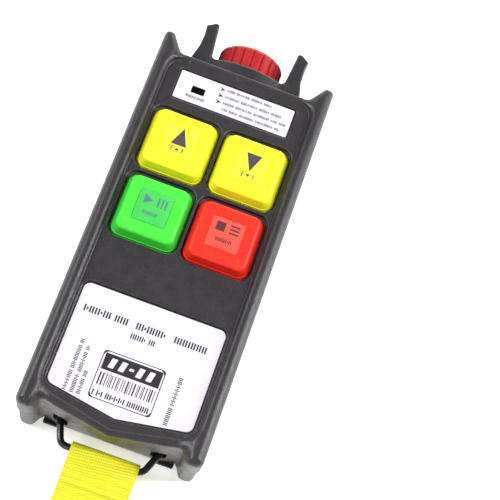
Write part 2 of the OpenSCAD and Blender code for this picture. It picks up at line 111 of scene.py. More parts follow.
# ---------------------------------------------------------------- distance fields
# A field is a function of x, y, z in mm, negative inside. Plans are evaluated on
# x, y alone, so on a grid they cost little.


def rmin(a, b, r):
    """Union with a fillet of radius r."""
    if r <= 0:
        return np.minimum(a, b)
    u, v = np.maximum(r - a, 0), np.maximum(r - b, 0)
    return np.maximum(r, np.minimum(a, b)) - np.sqrt(u * u + v * v)


def rmax(a, b, r):
    """Intersection with a rounded edge of radius r."""
    if r is None or (np.isscalar(r) and r <= 0):
        return np.maximum(a, b)
    u, v = np.maximum(r + a, 0), np.maximum(r + b, 0)
    return np.minimum(-r, np.maximum(a, b)) + np.sqrt(u * u + v * v)


def cut(a, b, r):
    return rmax(a, -b, r)


def fillet(points, radii, n=7):
    """A closed outline with each corner rounded."""
    out = []
    k = len(points)
    for i in range(k):
        p0, p1, p2 = (np.array(points[j % k], float) for j in (i - 1, i, i + 1))
        r = radii[i] if hasattr(radii, "__len__") else radii
        a, b = p0 - p1, p2 - p1
        la, lb = np.linalg.norm(a), np.linalg.norm(b)
        a, b = a / la, b / lb
        ang = math.acos(max(-1, min(1, float(a @ b))))
        if r <= 0 or ang > math.radians(178.5):
            out.append(p1)
            continue
        t = min(r / math.tan(ang / 2), 0.48 * la, 0.48 * lb)
        r = t * math.tan(ang / 2)
        bis = (a + b) / np.linalg.norm(a + b)
        c = p1 + bis * r / math.sin(ang / 2)
        s, e = p1 + a * t - c, p1 + b * t - c
        a0 = math.atan2(s[1], s[0])
        da = (math.atan2(e[1], e[0]) - a0 + math.pi) % (2 * math.pi) - math.pi
        for q in range(n + 1):
            w = a0 + da * q / n
            out.append(c + r * np.array([math.cos(w), math.sin(w)]))
    return np.array(out)


def poly(x, y, pts):
    d, s = None, None
    k = len(pts)
    for i in range(k):
        xi, yi = pts[i]
        xj, yj = pts[i - 1]
        ex, ey = xj - xi, yj - yi
        l2 = ex * ex + ey * ey
        if l2 < 1e-12:
            continue
        wx, wy = x - xi, y - yi
        t = np.clip((wx * ex + wy * ey) / l2, 0, 1)
        q = (wx - ex * t) ** 2 + (wy - ey * t) ** 2
        d = q if d is None else np.minimum(d, q)
        c1, c2, c3 = y >= yi, y < yj, ex * wy > ey * wx
        f = (c1 & c2 & c3) | (~c1 & ~c2 & ~c3)
        s = f if s is None else s ^ f
    return np.sqrt(d) * np.where(s, -1, 1)


def rect(x, y, cx, cy, hx, hy, r):
    qx, qy = np.abs(x - cx) - hx + r, np.abs(y - cy) - hy + r
    return np.sqrt(np.maximum(qx, 0) ** 2 + np.maximum(qy, 0) ** 2) + np.minimum(np.maximum(qx, qy), 0) - r


def slab(z, z0, z1):
    return np.abs(z - (z0 + z1) / 2) - (z1 - z0) / 2


def circ(x, y, cx, cy, r):
    return np.sqrt((x - cx) ** 2 + (y - cy) ** 2) - r


def mesh_field(f, lo, hi, h):
    """Surface nets over the box lo-hi with cells of h mm, then moved onto the surface."""
    lo, hi = np.array(lo, float) - 2 * h, np.array(hi, float) + 2 * h
    n = np.ceil((hi - lo) / h).astype(int) + 1
    ax = [(lo[i] + h * np.arange(n[i])).astype(np.float32) for i in range(3)]
    F = np.broadcast_to(f(ax[0][:, None, None], ax[1][None, :, None], ax[2][None, None, :]), n).astype(np.float32)
    F = np.where(np.abs(F) < 1e-5, np.float32(1e-5), F)
    neg = F < 0
    cnt = np.zeros(tuple(n - 1), np.uint8)
    for a in (0, 1):
        for b in (0, 1):
            for c in (0, 1):
                cnt += neg[a:n[0] - 1 + a, b:n[1] - 1 + b, c:n[2] - 1 + c]
    act = (cnt > 0) & (cnt < 8)
    idx = np.full(act.shape, -1, np.int64)
    I, J, K = np.nonzero(act)
    idx[I, J, K] = np.arange(len(I))
    P = np.zeros((len(I), 3))
    W = np.zeros(len(I))
    corners = [(a, b, c) for a in (0, 1) for b in (0, 1) for c in (0, 1)]
    V = {k: F[I + k[0], J + k[1], K + k[2]].astype(float) for k in corners}
    for axis in range(3):
        for k in corners:
            if k[axis]:
                continue
            k2 = tuple(1 if i == axis else k[i] for i in range(3))
            fa, fb = V[k], V[k2]
            hit = (fa < 0) != (fb < 0)
            t = np.where(hit, fa / np.where(hit, fa - fb, 1), 0)
            q = np.array(k, float)[None, :].repeat(len(I), 0)
            q[:, axis] += t
            P += q * hit[:, None]
            W += hit
    P = P / W[:, None]
    P = lo + h * (np.stack([I, J, K], 1) + P)
    faces = []
    for axis in range(3):
        sl0 = [slice(None)] * 3
        sl1 = [slice(None)] * 3
        sl0[axis], sl1[axis] = slice(0, -1), slice(1, None)
        s0, s1 = neg[tuple(sl0)], neg[tuple(sl1)]
        a, b = [i for i in range(3) if i != axis]
        E = np.nonzero(s0 != s1)
        E = [e.copy() for e in E]
        ok = (E[a] > 0) & (E[b] > 0) & (E[a] < n[a] - 1) & (E[b] < n[b] - 1)
        E = [e[ok] for e in E]
        s = s0[tuple(E)]

        def cell(da, db):
            q = list(E)
            q[a], q[b] = E[a] - da, E[b] - db
            return idx[tuple(q)]

        Q = np.stack([cell(1, 1), cell(0, 1), cell(0, 0), cell(1, 0)], 1)
        flip = s if axis != 1 else ~s
        Q = np.where(flip[:, None], Q, Q[:, ::-1])
        faces.append(Q)
    Q = np.concatenate(faces)
    for _ in range(2):
        P = settle(f, P, 0.4 * h)
    return P, Q


def settle(f, P, most, e=0.03):
    """Moves points onto the field's surface, by at most a given length."""
    x, y, z = P[:, 0], P[:, 1], P[:, 2]
    v = np.broadcast_to(f(x, y, z), x.shape)
    g = np.stack([f(x + e, y, z) - v, f(x, y + e, z) - v, f(x, y, z + e) - v], 1) / e
    step = g * (v / np.maximum((g * g).sum(1), 0.05))[:, None]
    ln = np.linalg.norm(step, axis=1)
    return P - step * np.minimum(1, most / np.maximum(ln, 1e-9))[:, None]


def gradient(f, P, e=0.02):
    x, y, z = P[:, 0], P[:, 1], P[:, 2]
    g = np.stack([f(x + e, y, z) - f(x - e, y, z), f(x, y + e, z) - f(x, y - e, z), f(x, y, z + e) - f(x, y, z - e)], 1) / (2 * e)
    return g, np.broadcast_to(f(x, y, z), x.shape)


def new_object(name, me):
    o = bpy.data.objects.new(name, me)
    scene.collection.objects.link(o)
    return o


def field_piece(name, f, lo, hi, h, keep=0.4):
    """A piece from a distance field in mm, thinned where it is flat, with the field's own normals."""
    P, Q = mesh_field(f, lo, hi, h)
    raw = bpy.data.meshes.new(name)
    raw.vertices.add(len(P))
    raw.vertices.foreach_set("co", (P * MM).astype(np.float32).ravel())
    raw.loops.add(len(Q) * 4)
    raw.loops.foreach_set("vertex_index", Q.astype(np.int32).ravel())
    raw.polygons.add(len(Q))
    raw.polygons.foreach_set("loop_start", np.arange(0, len(Q) * 4, 4, dtype=np.int32))
    raw.update(calc_edges=True)
    tmp = new_object("tmp", raw)
    mod = tmp.modifiers.new("thin", "DECIMATE")
    mod.ratio = keep
    me = bpy.data.meshes.new_from_object(tmp.evaluated_get(bpy.context.evaluated_depsgraph_get()))
    me.name = name
    bpy.data.objects.remove(tmp)
    bpy.data.meshes.remove(raw)
    co = np.zeros(len(me.vertices) * 3)
    me.vertices.foreach_get("co", co)
    P = settle(f, co.reshape(-1, 3) / MM, 0.1 * h)
    me.vertices.foreach_set("co", (P * MM).astype(np.float32).ravel())
    g, _ = gradient(f, P)
    g /= np.maximum(np.linalg.norm(g, axis=1), 1e-9)[:, None]
    me.polygons.foreach_set("use_smooth", np.ones(len(me.polygons), bool))
    me.update()
    me.normals_split_custom_set_from_vertices(g.astype(np.float32))
    me.update()
    return new_object(name, me)


# ---------------------------------------------------------------- housing fields

HW, FACE, RAIL, TOP, CEIL = 33.0, 35.0, 37.0, 69.4, 32.8
KX, KY1, KY2 = 13.35, 34.4, 7.2
HEAD_Z = 17.5


def sstep(t):
    t = np.clip(t, 0, 1)
    return t * t * (3 - 2 * t)


# Half outlines, for |x|: they run past x = 0 so that the middle is right too
FRONT = fillet([(-20, -68.25), (0, -71.75), (20, -68.35), (24.9, -67.2), (27.3, -71.8), (33, -71.8), (33, 76.2), (29.6, 76.2), (24.7, 69.4), (-20, 69.4)],
               [0, 5, 9, 2.2, 2.4, 2.6, 2.0, 1.8, 3.4, 0])
CHANNEL = fillet([(-20, -66.0), (0, -69.7), (27.7, -64.0), (27.7, 68.1), (-20, 68.1)], [0, 4, 6.5, 7, 0])
RATING = fillet([(-20, -62.35), (0, -65.7), (25.7, -61.4), (25.7, -24.4), (-20, -24.4)], [0, 2.5, 2.6, 2.4, 0])
REAR = fillet([(-20, -67.6), (0, -71.1), (20, -67.75), (25.0, -66.6), (27.5, -71.15), (32.6, -71.15), (32.6, 75.7), (29.6, 75.7), (24.8, 69.4), (-20, 69.4)],
              [0, 5, 9, 2.0, 2.2, 2.3, 1.8, 1.6, 3.2, 0])
PRONG = fillet([(14.2, 68), (14.4, 75.0), (15.1, 82.4), (15.75, 89.5), (17.3, 89.5), (20.4, 87.5), (19.9, 83.5), (20.2, 78.4), (21.4, 73.4), (21.6, 68)],
               [0, 4, 8, 0.7, 0.7, 0.5, 6, 8, 8, 0])


def f_front(x, y, z):
    ax = np.abs(x)
    plan = poly(ax, y, FRONT)
    lip = np.where(y > 0, 35.55, 35.3)
    t = (ax - 22.0) / 6.2
    # the rail's crown: a full round across, highest at its middle
    crown = 0.45 * np.clip(1 - ((ax - 30.0) / 3.0) ** 2, -1, 1) * sstep((ax - 26.5) / 1.5)
    top = (z - lip - (RAIL - lip) * sstep(t) - crown) * 0.93
    d = rmax(plan, top, 0.9 + 2.1 * sstep((ax - 22) / 5))
    d = rmax(d, 22.3 - z, 0.4)
    # the sunk face between the rails
    d = cut(d, rmax(poly(ax, y, CHANNEL), FACE - z, 0.5), 0.5 + 1.1 * sstep((ax - 24) / 3))
    # key openings
    k = np.minimum(rect(ax, y, KX, KY1, 12.2, 12.2, 3.4), rect(ax, y, KX, KY2, 12.2, 12.2, 3.4))
    d = cut(d, np.maximum(k, 31 - z), 0.15)
    # a wider moat round each key, down to a thin ledge
    k = np.minimum(rect(ax, y, KX + 0.15, KY1 + 0.25, 12.85, 12.95, 3.9), rect(ax, y, KX + 0.15, KY2 + 0.25, 12.85, 12.95, 3.9))
    d = cut(d, rmax(k, 33.4 - z, 0.2), 0.4)
    # label pockets and the lamp's window
    d = cut(d, rmax(poly(ax, y, RATING) - 0.55, FACE - 0.8 - z, 0.2), 0.25)
    d = cut(d, rmax(rect(x, y, -0.15, 57.7, 22.35, 6.1, 0.8), FACE - 0.75 - z, 0.1), 0.2)
    d = cut(d, np.maximum(rect(x, y, -14, 57.5, 2.5, 1.4, 0.3), 30 - z), 0.1)
    # the inside
    d = cut(d, rmax(rect(x, y, 0, 0.6, 30.8, 66.6, 3), z - CEIL, 0.8), 0.3)
    d = cut(d, np.maximum(circ(x, z, 0, HEAD_Z, 7.2), 60 - y), 0.2)
    b = np.minimum(circ(ax, y, 27.2, 58, 3.3), circ(ax, y, 28.2, -56, 3.3))
    b = cut(b, np.maximum(b + 1.8, z - 30.3), 0.15)
    b = rmax(b, slab(z, 22.3, 33.4), 0.2)
    return rmin(d, b, 0.4)


def f_rear(x, y, z):
    ax = np.abs(x)
    plan = poly(ax, y, REAR)
    ends = sstep((np.abs(y) - 60) / 8)
    d = rmax(plan, -z, 3.2 - 2.0 * ends)
    d = rmax(d, z - 21.7, 0.4)
    lean = (y + 67.5 + 4.1 * z / 21.7) / 1.018
    d = cut(d, rmax(lean, ax - 24.6, 1.2), 0.7)
    d = cut(d, rmax(rect(x, y, 0, 0.3, 30.4, 66.1, 3), 2.2 - z, 0.8), 0.3)
    d = rmin(d, rmax(rect(x, y, 0, -32.9, 18.2, 29.3, 1), slab(z, 0.5, 19.8), 0.3), 0.5)
    d = rmin(d, rmax(rect(x, y, 0, -33.6, 25.6, 32.6, 1), slab(z, 0.5, 4.2), 0.3), 0.5)
    d = rmin(d, rmax(rect(x, y, 0, -63.7, 4, 2.5, 0.5), slab(z, 0.5, 11.5), 0.3), 0.5)
    t = np.minimum(circ(ax, y, 27.2, 58, 3.9), circ(ax, y, 28.2, -56, 3.9))
    d = rmin(d, rmax(t, slab(z, 0.5, 21.7), 0.3), 0.5)
    d = cut(d, rmax(rect(x, y, 0, -32.9, 16.6, 27.7, 1), z - 18.2, 0.5), 0.25)
    d = cut(d, rmax(np.maximum(ax - 24.7, y + 1.9), z - 2.6, 0.3), 0.25)
    d = cut(d, np.maximum(circ(y, z, -3.2, 1.3, 0.75), ax - 26.6), 0)
    d = cut(d, np.maximum(circ(x, y, 0, -64, 2.4), z - 10), 0.1)
    t = np.minimum(circ(ax, y, 27.2, 58, 2.7), circ(ax, y, 28.2, -56, 2.7))
    d = cut(d, np.minimum(rmax(t, z - 13, 0.1), t + 1.1), 0.35)
    d = cut(d, np.maximum(circ(x, z, 0, HEAD_Z, 7.2), 60 - y), 0.2)
    return cut(d, rmax(rmax(np.abs(ax - 18) - 2.7, slab(z, 8, 16.8), 1.6), y + 65.4, 0), 0.5)


def f_guard(x, y, z):
    ax = np.abs(x)
    d = rmax(ax - 21.5, circ(x, z, 0, 6.1, 26.5), 1.4)
    d = rmax(d, 2.2 - z, 1.0)
    d = rmax(d, slab(y, 69.45, 75.2), 1.1)
    p = rmax(poly(ax, y, PRONG), slab(z, 7, 29), 0.9)
    p = np.maximum(p, 69.6 - y)
    d = rmin(d, p, 2.2)
    d = np.maximum(d, 69.45 - y)
    c = circ(x, z, 0, HEAD_Z, 13.6)
    d = cut(d, rmax(c, 71.2 - y, 0.4), 0.7)
    return cut(d, circ(x, z, 0, HEAD_Z, 7.05), 0.15)


def f_door(x, y, z):
    ax = np.abs(x)
    d = rmax(rmax(rect(x, y, 0, -35.1, 24.4, 31.9, 1.2), 0.1 - z, 0.35), z - 2.3, 0.2)
    d = np.minimum(d, rmax(rect(ax, y, 20.9, -67.3, 3.5, 1.5, 0.6), slab(z, 0.1, 1.9), 0.3))
    d = np.minimum(d, rmax(circ(y, z, -3.2, 1.3, 1.2), ax - 24.4, 0.2))
    d = np.minimum(d, rmax(circ(y, z, -3.2, 1.3, 0.7), ax - 26.3, 0.15))
    d = cut(d, circ(x, y, 0, -64, 1.8), 0.1)
    d = cut(d, rmax(circ(x, y, 0, -64, 3.2), z - 1.1, 0.1), 0.2)
    # ribbed thumb grip, an arc of grooves
    g = circ(x, y, 0, -17.6, 11)
    w = 0.42 * (np.cos(2 * np.pi * (y + 12) / 2.2)) + 0.18
    return cut(d, rmax(g, np.maximum(z - 0.1 - 0.45 * np.clip(w + 0.4, 0, 1), -1 - z), 0.1), 0.12)


def key_field(cx, cy):
    def f(x, y, z):
        t = np.clip((z - 34.3) / 4.1, 0, 1)
        h = 11.45 - 1.05 * t
        r = 3.1 - 0.5 * t
        qx, qy = np.abs(x - cx) - h + r, np.abs(y - cy) - h + r
        side = (np.sqrt(np.maximum(qx, 0) ** 2 + np.maximum(qy, 0) ** 2) + np.minimum(np.maximum(qx, qy), 0) - r) * 0.94
        rr = np.minimum(((x - cx) ** 2 + (y - cy) ** 2) / 100, 1)
        d = rmax(side, z - 38.2 - 0.18 * rr, 1.0)
        base = rmax(rect(x, y, cx, cy, 11.85, 11.85, 3.3), slab(z, 32.65, 33.9), 0.3)
        base = rmin(base, rmax(rect(x, y, cx, cy, 12.6, 12.6, 3.2), slab(z, 31.6, 32.6), 0.1), 0.1)
        d = rmin(rmax(d, 32 - z, 0), base, 0.35)
        d = cut(d, rmax(rect(x, y, cx, cy, 8.6, 8.6, 2), z - 36.8, 0.5), 0.2)
        return cut(d, rmax(rect(x, y, cx, cy + 0.3, 6.2, 6.0, 0.7), 38.05 - z, 0.05), 0.12)
    return f


H_SHELL = 0.4
t_front = field_piece("front_shell_moulded", f_front, (-33, -72, 22.2), (33, 76.3, 37.5), H_SHELL)
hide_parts("front_shell")
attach(t_front, "housing")
t_rear = field_piece("rear_shell_moulded", f_rear, (-33, -72, 0), (33, 75.9, 21.8), H_SHELL)
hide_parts("rear_shell")
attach(t_rear, "housing")
t_guard = field_piece("estop_guard_moulded", f_guard, (-22, 69.3, 2), (22, 90, 33), 0.3)
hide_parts("estop_guard")
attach(t_guard, "housing")
t_door = field_piece("battery_door_moulded", f_door, (-26.5, -69, 0), (26.5, -1.8, 2.6), 0.25)
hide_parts("battery_door")
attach(t_door, "door")
keys = {}
for n, (cx, cy) in {"up": (-KX, KY1), "down": (KX, KY1), "start": (-KX, KY2), "stop": (KX, KY2)}.items():
    o = field_piece(n + "_key_moulded", key_field(cx, cy), (cx - 12.7, cy - 12.7, 31.5), (cx + 12.7, cy + 12.7, 38.6), 0.22)
    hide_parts(n + "_key")
    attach(o, n + "_button")
    keys[n] = o

# ---------------------------------------------------------------- plates, ink, lathe, tubes


def plate(name, outline, z0, z1, bevel=0.12, z_axis=None):
    """A flat piece with softened edges, from an outline in mm."""
    bm = bmesh.new()
    vs = [bm.verts.new((p[0] * MM, p[1] * MM, z0 * MM)) for p in outline]
    face = bm.faces.new(vs)
    ext = bmesh.ops.extrude_face_region(bm, geom=[face])
    up = [v for v in ext["geom"] if isinstance(v, bmesh.types.BMVert)]
    bmesh.ops.translate(bm, verts=up, vec=(0, 0, (z1 - z0) * MM))
    bmesh.ops.recalc_face_normals(bm, faces=bm.faces)
    if bevel:
        rim = [q for q in bm.edges if abs(q.verts[0].co.z - q.verts[1].co.z) < 1e-9]
        bmesh.ops.bevel(bm, geom=rim, offset=bevel * MM, segments=3, profile=0.5, affect="EDGES", clamp_overlap=True)
    me = bpy.data.meshes.new(name)
    bm.to_mesh(me)
    bm.free()
    smooth(me, 40)
    return new_object(name, me)


def smooth(me, angle=40):
    me.polygons.foreach_set("use_smooth", np.ones(len(me.polygons), bool))
    me.update()
    me.set_sharp_from_angle(angle=math.radians(angle))


def ink(name, shapes, z0, z1):
    """Printed marks: each shape is an outline, a hair proud of what carries it."""
    bm = bmesh.new()
    for s in shapes:
        vs = [bm.verts.new((p[0] * MM, p[1] * MM, z0 * MM)) for p in s]
        face = bm.faces.new(vs)
        ext = bmesh.ops.extrude_face_region(bm, geom=[face])
        up = [v for v in ext["geom"] if isinstance(v, bmesh.types.BMVert)]
        bmesh.ops.translate(bm, verts=up, vec=(0, 0, (z1 - z0) * MM))
    bmesh.ops.recalc_face_normals(bm, faces=bm.faces)
    me = bpy.data.meshes.new(name)
    bm.to_mesh(me)
    bm.free()
    return new_object(name, me)


def box2(x0, y0, x1, y1):
    return [(x0, y0), (x1, y0), (x1, y1), (x0, y1)]


def ring2(x0, y0, x1, y1, r, w, n=6):
    """A rounded frame of line width w, as a closed strip of quads."""
    a = fillet(box2(x0, y0, x1, y1), r, n)
    b = fillet(box2(x0 + w, y0 + w, x1 - w, y1 - w), max(r - w, 0.05), n)
    k = len(a)
    return [[tuple(a[i]), tuple(a[(i + 1) % k]), tuple(b[(i + 1) % k]), tuple(b[i])] for i in range(k)]


def glyphs(rnd, x0, y0, x1, h, vertical=False, gap=0.2):
    """A line of print reduced to upright bars and small blocks in word groups. They are not letters."""
    out = []
    x = x0
    word = rnd.randint(4, 9)
    while True:
        kind = rnd.random()
        s = 0.23 * h
        w = s if kind < 0.2 else 0.62 * h
        if x + w > x1:
            return out
        if kind < 0.2:
            parts = [(0, 0, s, h)]
        elif kind < 0.7:
            parts = [(0, 0, s, h), (w - s, 0, w, h)]
        else:
            parts = [(0, 0, s, h), (s * 1.7, h * 0.3, w, h * 0.7)]
        for a, b, c, d in parts:
            if vertical:
                out.append(box2(y0 - d, x + a, y0 - b, x + c))
            else:
                out.append(box2(x + a, y0 + b, x + c, y0 + d))
        x += w + gap * h
        word -= 1
        if word <= 0:
            x += 0.5 * h
            word = rnd.randint(4, 9)


def grid_mesh(name, pts, close_u=False, close_v=False, caps=(), uv=None):
    """A mesh over a grid of points (rows, columns, 3) in mm."""
    nu, nv = pts.shape[:2]
    me = bpy.data.meshes.new(name)
    verts = (pts.reshape(-1, 3) * MM).tolist()
    faces = []
    for i in range(nu if close_u else nu - 1):
        for j in range(nv if close_v else nv - 1):
            i2, j2 = (i + 1) % nu, (j + 1) % nv
            faces.append((i * nv + j, i2 * nv + j, i2 * nv + j2, i * nv + j2))
    for row, rev in caps:
        ring = [(row % nu) * nv + j for j in range(nv)]
        faces.append(tuple(ring[::-1] if rev else ring))
    me.from_pydata(verts, [], faces)
    me.update()
    if uv is not None:
        layer = me.uv_layers.new(name="UVMap")
        flat = np.zeros((len(me.loops), 2), np.float32)
        vi = np.zeros(len(me.loops), np.int32)
        me.loops.foreach_get("vertex_index", vi)
        flat[:] = uv.reshape(-1, 2)[vi]
        layer.data.foreach_set("uv", flat.ravel())
    bm = bmesh.new()
    bm.from_mesh(me)
    bmesh.ops.recalc_face_normals(bm, faces=bm.faces)
    bm.to_mesh(me)
    bm.free()
    me.polygons.foreach_set("use_smooth", np.ones(len(me.polygons), bool))
    me.update()
    return new_object(name, me)


def lathe(name, profile, n, centre, mod=None, close=False):
    """Turns (radius, height) about the line through centre along +Y. mod(angle, radius, height) changes the radius."""
    P = np.zeros((len(profile), n, 3))
    for i, (r, h) in enumerate(profile):
        for j in range(n):
            a = 2 * math.pi * j / n
            q = r if mod is None else mod(a, r, h)
            P[i, j] = (centre[0] + q * math.cos(a), centre[1] + h, centre[2] + q * math.sin(a))
    return grid_mesh(name, P, close_u=close, close_v=True)


def smooth_path(points, step):
    """A Catmull-Rom curve through points, resampled at an even step."""
    P = np.array(points, float)
    ext = np.vstack([2 * P[0] - P[1], P, 2 * P[-1] - P[-2]])
    out = []
    for i in range(1, len(ext) - 2):
        p0, p1, p2, p3 = ext[i - 1:i + 3]
        for t in np.linspace(0, 1, 12, endpoint=False):
            out.append(0.5 * ((2 * p1) + (-p0 + p2) * t + (2 * p0 - 5 * p1 + 4 * p2 - p3) * t * t + (-p0 + 3 * p1 - 3 * p2 + p3) * t ** 3))
    out.append(P[-1])
    return resample(np.array(out), step)


def resample(P, step):
    d = np.concatenate([[0], np.cumsum(np.linalg.norm(np.diff(P, axis=0), axis=1))])
    n = max(2, int(round(d[-1] / step)))
    s = np.linspace(0, d[-1], n + 1)
    return np.stack([np.interp(s, d, P[:, i]) for i in range(P.shape[1])], 1)


def tube(name, path, r, sides=20):
    P = np.array(path, float)
    T = np.gradient(P, axis=0)
    T /= np.linalg.norm(T, axis=1)[:, None]
    up = np.array([0, 0, 1.0])
    S = np.cross(up, T)
    S /= np.linalg.norm(S, axis=1)[:, None]
    U = np.cross(T, S)
    a = 2 * np.pi * np.arange(sides) / sides
    G = P[:, None, :] + r * (np.cos(a)[None, :, None] * S[:, None, :] + np.sin(a)[None, :, None] * U[:, None, :])
    return grid_mesh(name, G, close_v=True, caps=((0, False), (-1, True)))

# ---------------------------------------------------------------- labels and legends


def place(o, body, *nodes, slot=None):
    if nodes:
        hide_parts(*nodes)
    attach(o, body)
    return o


FULL_RATING = fillet([(0, -65.7), (25.7, -61.4), (25.7, -24.4), (-25.7, -24.4), (-25.7, -61.4)], [2.5, 2.6, 2.4, 2.4, 2.6])
label1 = place(plate("rating_label_film", FULL_RATING, FACE - 0.8, FACE - 0.45, 0.08), "housing", "rating_label")
zl = FACE - 0.45
rnd = random.Random(7)
dark_ink, grey_ink = [], []
# a heading of three words, a short line under it
for x0, x1 in ((-23.0, -6.7), (-4.2, 7.4), (9.6, 22.2)):
    dark_ink += glyphs(rnd, x0, -34.4, x1, 2.4)
dark_ink += glyphs(rnd, -4.8, -38.1, 4.2, 1.9)
# framed block: a dark band over a bar pattern and a row of marks
frame_ring = ring2(-11.2, -61.5, 10.9, -44.5, 1.2, 0.28)
dark_ink += frame_ring
for x, y in ((-10.9, -44.8), (10.6, -44.8), (-10.9, -61.2), (10.6, -61.2)):
    sx, sy = (1 if x < 0 else -1), (-1 if y > -50 else 1)
    dark_ink.append([(x, y), (x + sx * 1.5, y), (x + sx * 0.5, y + sy * 0.5), (x, y + sy * 1.5)][::1 if sx * sy > 0 else -1])
band = box2(-10.3, -51.2, 10.1, -45.4)
dark_ink.append(band)
x = -9.9
while x < 9.6:
    w = rnd.choice((0.2, 0.2, 0.3, 0.5))
    if x + w > 9.8:
        break
    dark_ink.append(box2(x, -56.6, x + w, -52.2))
    x += w + rnd.choice((0.3, 0.42, 0.6, 0.75))
x = -10.2
while x < 8.6:
    dark_ink += glyphs(rnd, x, -60.5, x + 1.25, 1.9)[:2]
    x += 1.55
for xv, y0, y1 in ((-18.6, -62.2, -43.0), (-16.0, -62.2, -44.8), (-13.7, -62.0, -53.2)):
    grey_ink += glyphs(rnd, y0, xv, y1, 1.35, vertical=True)
grey_ink += glyphs(rnd, -62.0, 17.1, -44.2, 1.55, vertical=True)
place(ink("rating_label_print", dark_ink, zl - 0.02, zl + 0.03), "housing")
place(ink("rating_label_small_print", grey_ink, zl - 0.02, zl + 0.025), "housing")
white = []
x = -8.4
for w in (2.7, 2.7, 1.6, 2.7, 2.7):
    if w < 2:
        white.append(box2(x, -48.8, x + w, -47.9))
    else:
        white.append([(x, -50.1), (x + w * 0.72, -50.1), (x + w, -46.6), (x + w * 0.28, -46.6)])
    x += w + 0.95
place(ink("rating_label_band_marks", white, zl + 0.02, zl + 0.06), "housing")

status = fillet(box2(-22.1, 52.1, 21.6, 63.4), 0.6)
win = box2(-16.5, 56.1, -11.5, 58.9)


def holed_plate(name, outer, hole, z0, z1):
    """A plate with one opening: both faces filled between the outline and the opening, joined by side walls into one
    solid.
    """
    bm = bmesh.new()
    rings = {}
    for z in (z0, z1):
        rings[z] = ([bm.verts.new((p[0] * MM, p[1] * MM, z * MM)) for p in outer], [bm.verts.new((p[0] * MM, p[1] * MM, z * MM)) for p in hole])
        o, h = rings[z]
        es = [bm.edges.new((r[i], r[(i + 1) % len(r)])) for r in (o, h) for i in range(len(r))]
        bmesh.ops.triangle_fill(bm, edges=es, use_beauty=True)
    for k in (0, 1):
        a, b = rings[z0][k], rings[z1][k]
        for i in range(len(a)):
            j = (i + 1) % len(a)
            bm.faces.new((a[i], a[j], b[j], b[i]))
    bmesh.ops.recalc_face_normals(bm, faces=bm.faces)
    me = bpy.data.meshes.new(name)
    bm.to_mesh(me)
    bm.free()
    return new_object(name, me)


label2 = place(holed_plate("status_label_film", status, win, FACE - 0.75, FACE - 0.35), "housing", "status_label")
zs = FACE - 0.35
marks, heads = [], []
for y in (61.5, 58.9, 56.3):
    heads.append([(-6.9, y + 0.85), (-4.7, y), (-6.9, y - 0.85), (-6.1, y)])
for y, x1, x0 in ((61.2, 13.7, -4.0), (58.5, 18.2, -4.0), (55.9, 20.4, -4.0), (53.4, 18.9, -3.6)):
    marks += glyphs(rnd, x0, y, x1, 1.05)
marks += glyphs(rnd, -17.7, 53.9, -9.8, 1.15)
place(ink("status_label_print", marks, zs - 0.02, zs + 0.025), "housing")
place(ink("status_label_arrows", heads, zs - 0.02, zs + 0.03), "housing")
window = place(plate("led_window_pane", fillet(box2(-16.4, 56.2, -11.6, 58.8), 0.25), CEIL - 0.6, FACE - 0.3, 0.15), "housing", "led_window")

inserts = {}
LEG = FACE + 3.25
for n, (cx, cy) in {"up": (-KX, KY1), "down": (KX, KY1), "start": (-KX, KY2), "stop": (KX, KY2)}.items():
    cy += 0.3
    out = fillet(box2(cx - 6.1, cy - 5.9, cx + 6.1, cy + 5.9), 0.5)
    if n == "stop":
        # a clear film whose upper edge has been cut by hand
        r2 = random.Random(3)
        out = [(cx - 6.0, cy - 5.8), (cx + 6.0, cy - 5.9), (cx + 6.1, cy + 5.6)]
        k = 15
        for i in range(k + 1):
            out.append((cx + 6.0 - 12.0 * i / k, cy + 5.55 + r2.uniform(-0.32, 0.28) + (0.3 if i in (4, 5) else 0)))
    inserts[n] = place(plate(n + "_legend_plate", out, LEG - 0.2, LEG + 0.17, 0.07), n + "_button", n + "_insert")
zi = LEG + 0.17


def shift(shapes, dx, dy):
    return [[(p[0] + dx, p[1] + dy) for p in s] for s in shapes]


def bracket(cx, cy, h, w, side):
    """One curved bracket."""
    a = [math.radians(t) for t in np.linspace(-52, 52, 9)]
    outer = [(cx + side * (h * math.cos(t) - h * 0.62), cy + h * math.sin(t)) for t in a]
    inner = [(cx + side * (h * math.cos(t) - h * 0.62 - w * math.cos(t * 1.1)), cy + 0.94 * h * math.sin(t)) for t in a]
    s = outer + inner[::-1]
    return s if side > 0 else s[::-1]


legend = {}
legend["up"] = [[(-2.9, -1.7), (2.9, -1.7), (0.1, 5.2)], [(-0.85, -3.9), (0.85, -3.9), (0, -2.7)], bracket(1.75, -3.35, 1.4, 0.42, 1), bracket(-1.75, -3.35, 1.4, 0.42, -1)]
legend["down"] = [[(-2.9, 5.2), (0.1, -1.7), (2.9, 5.2)], [(-0.85, -2.8), (0, -4.0), (0.85, -2.8)], bracket(1.75, -3.35, 1.4, 0.42, 1), bracket(-1.75, -3.35, 1.4, 0.42, -1)]
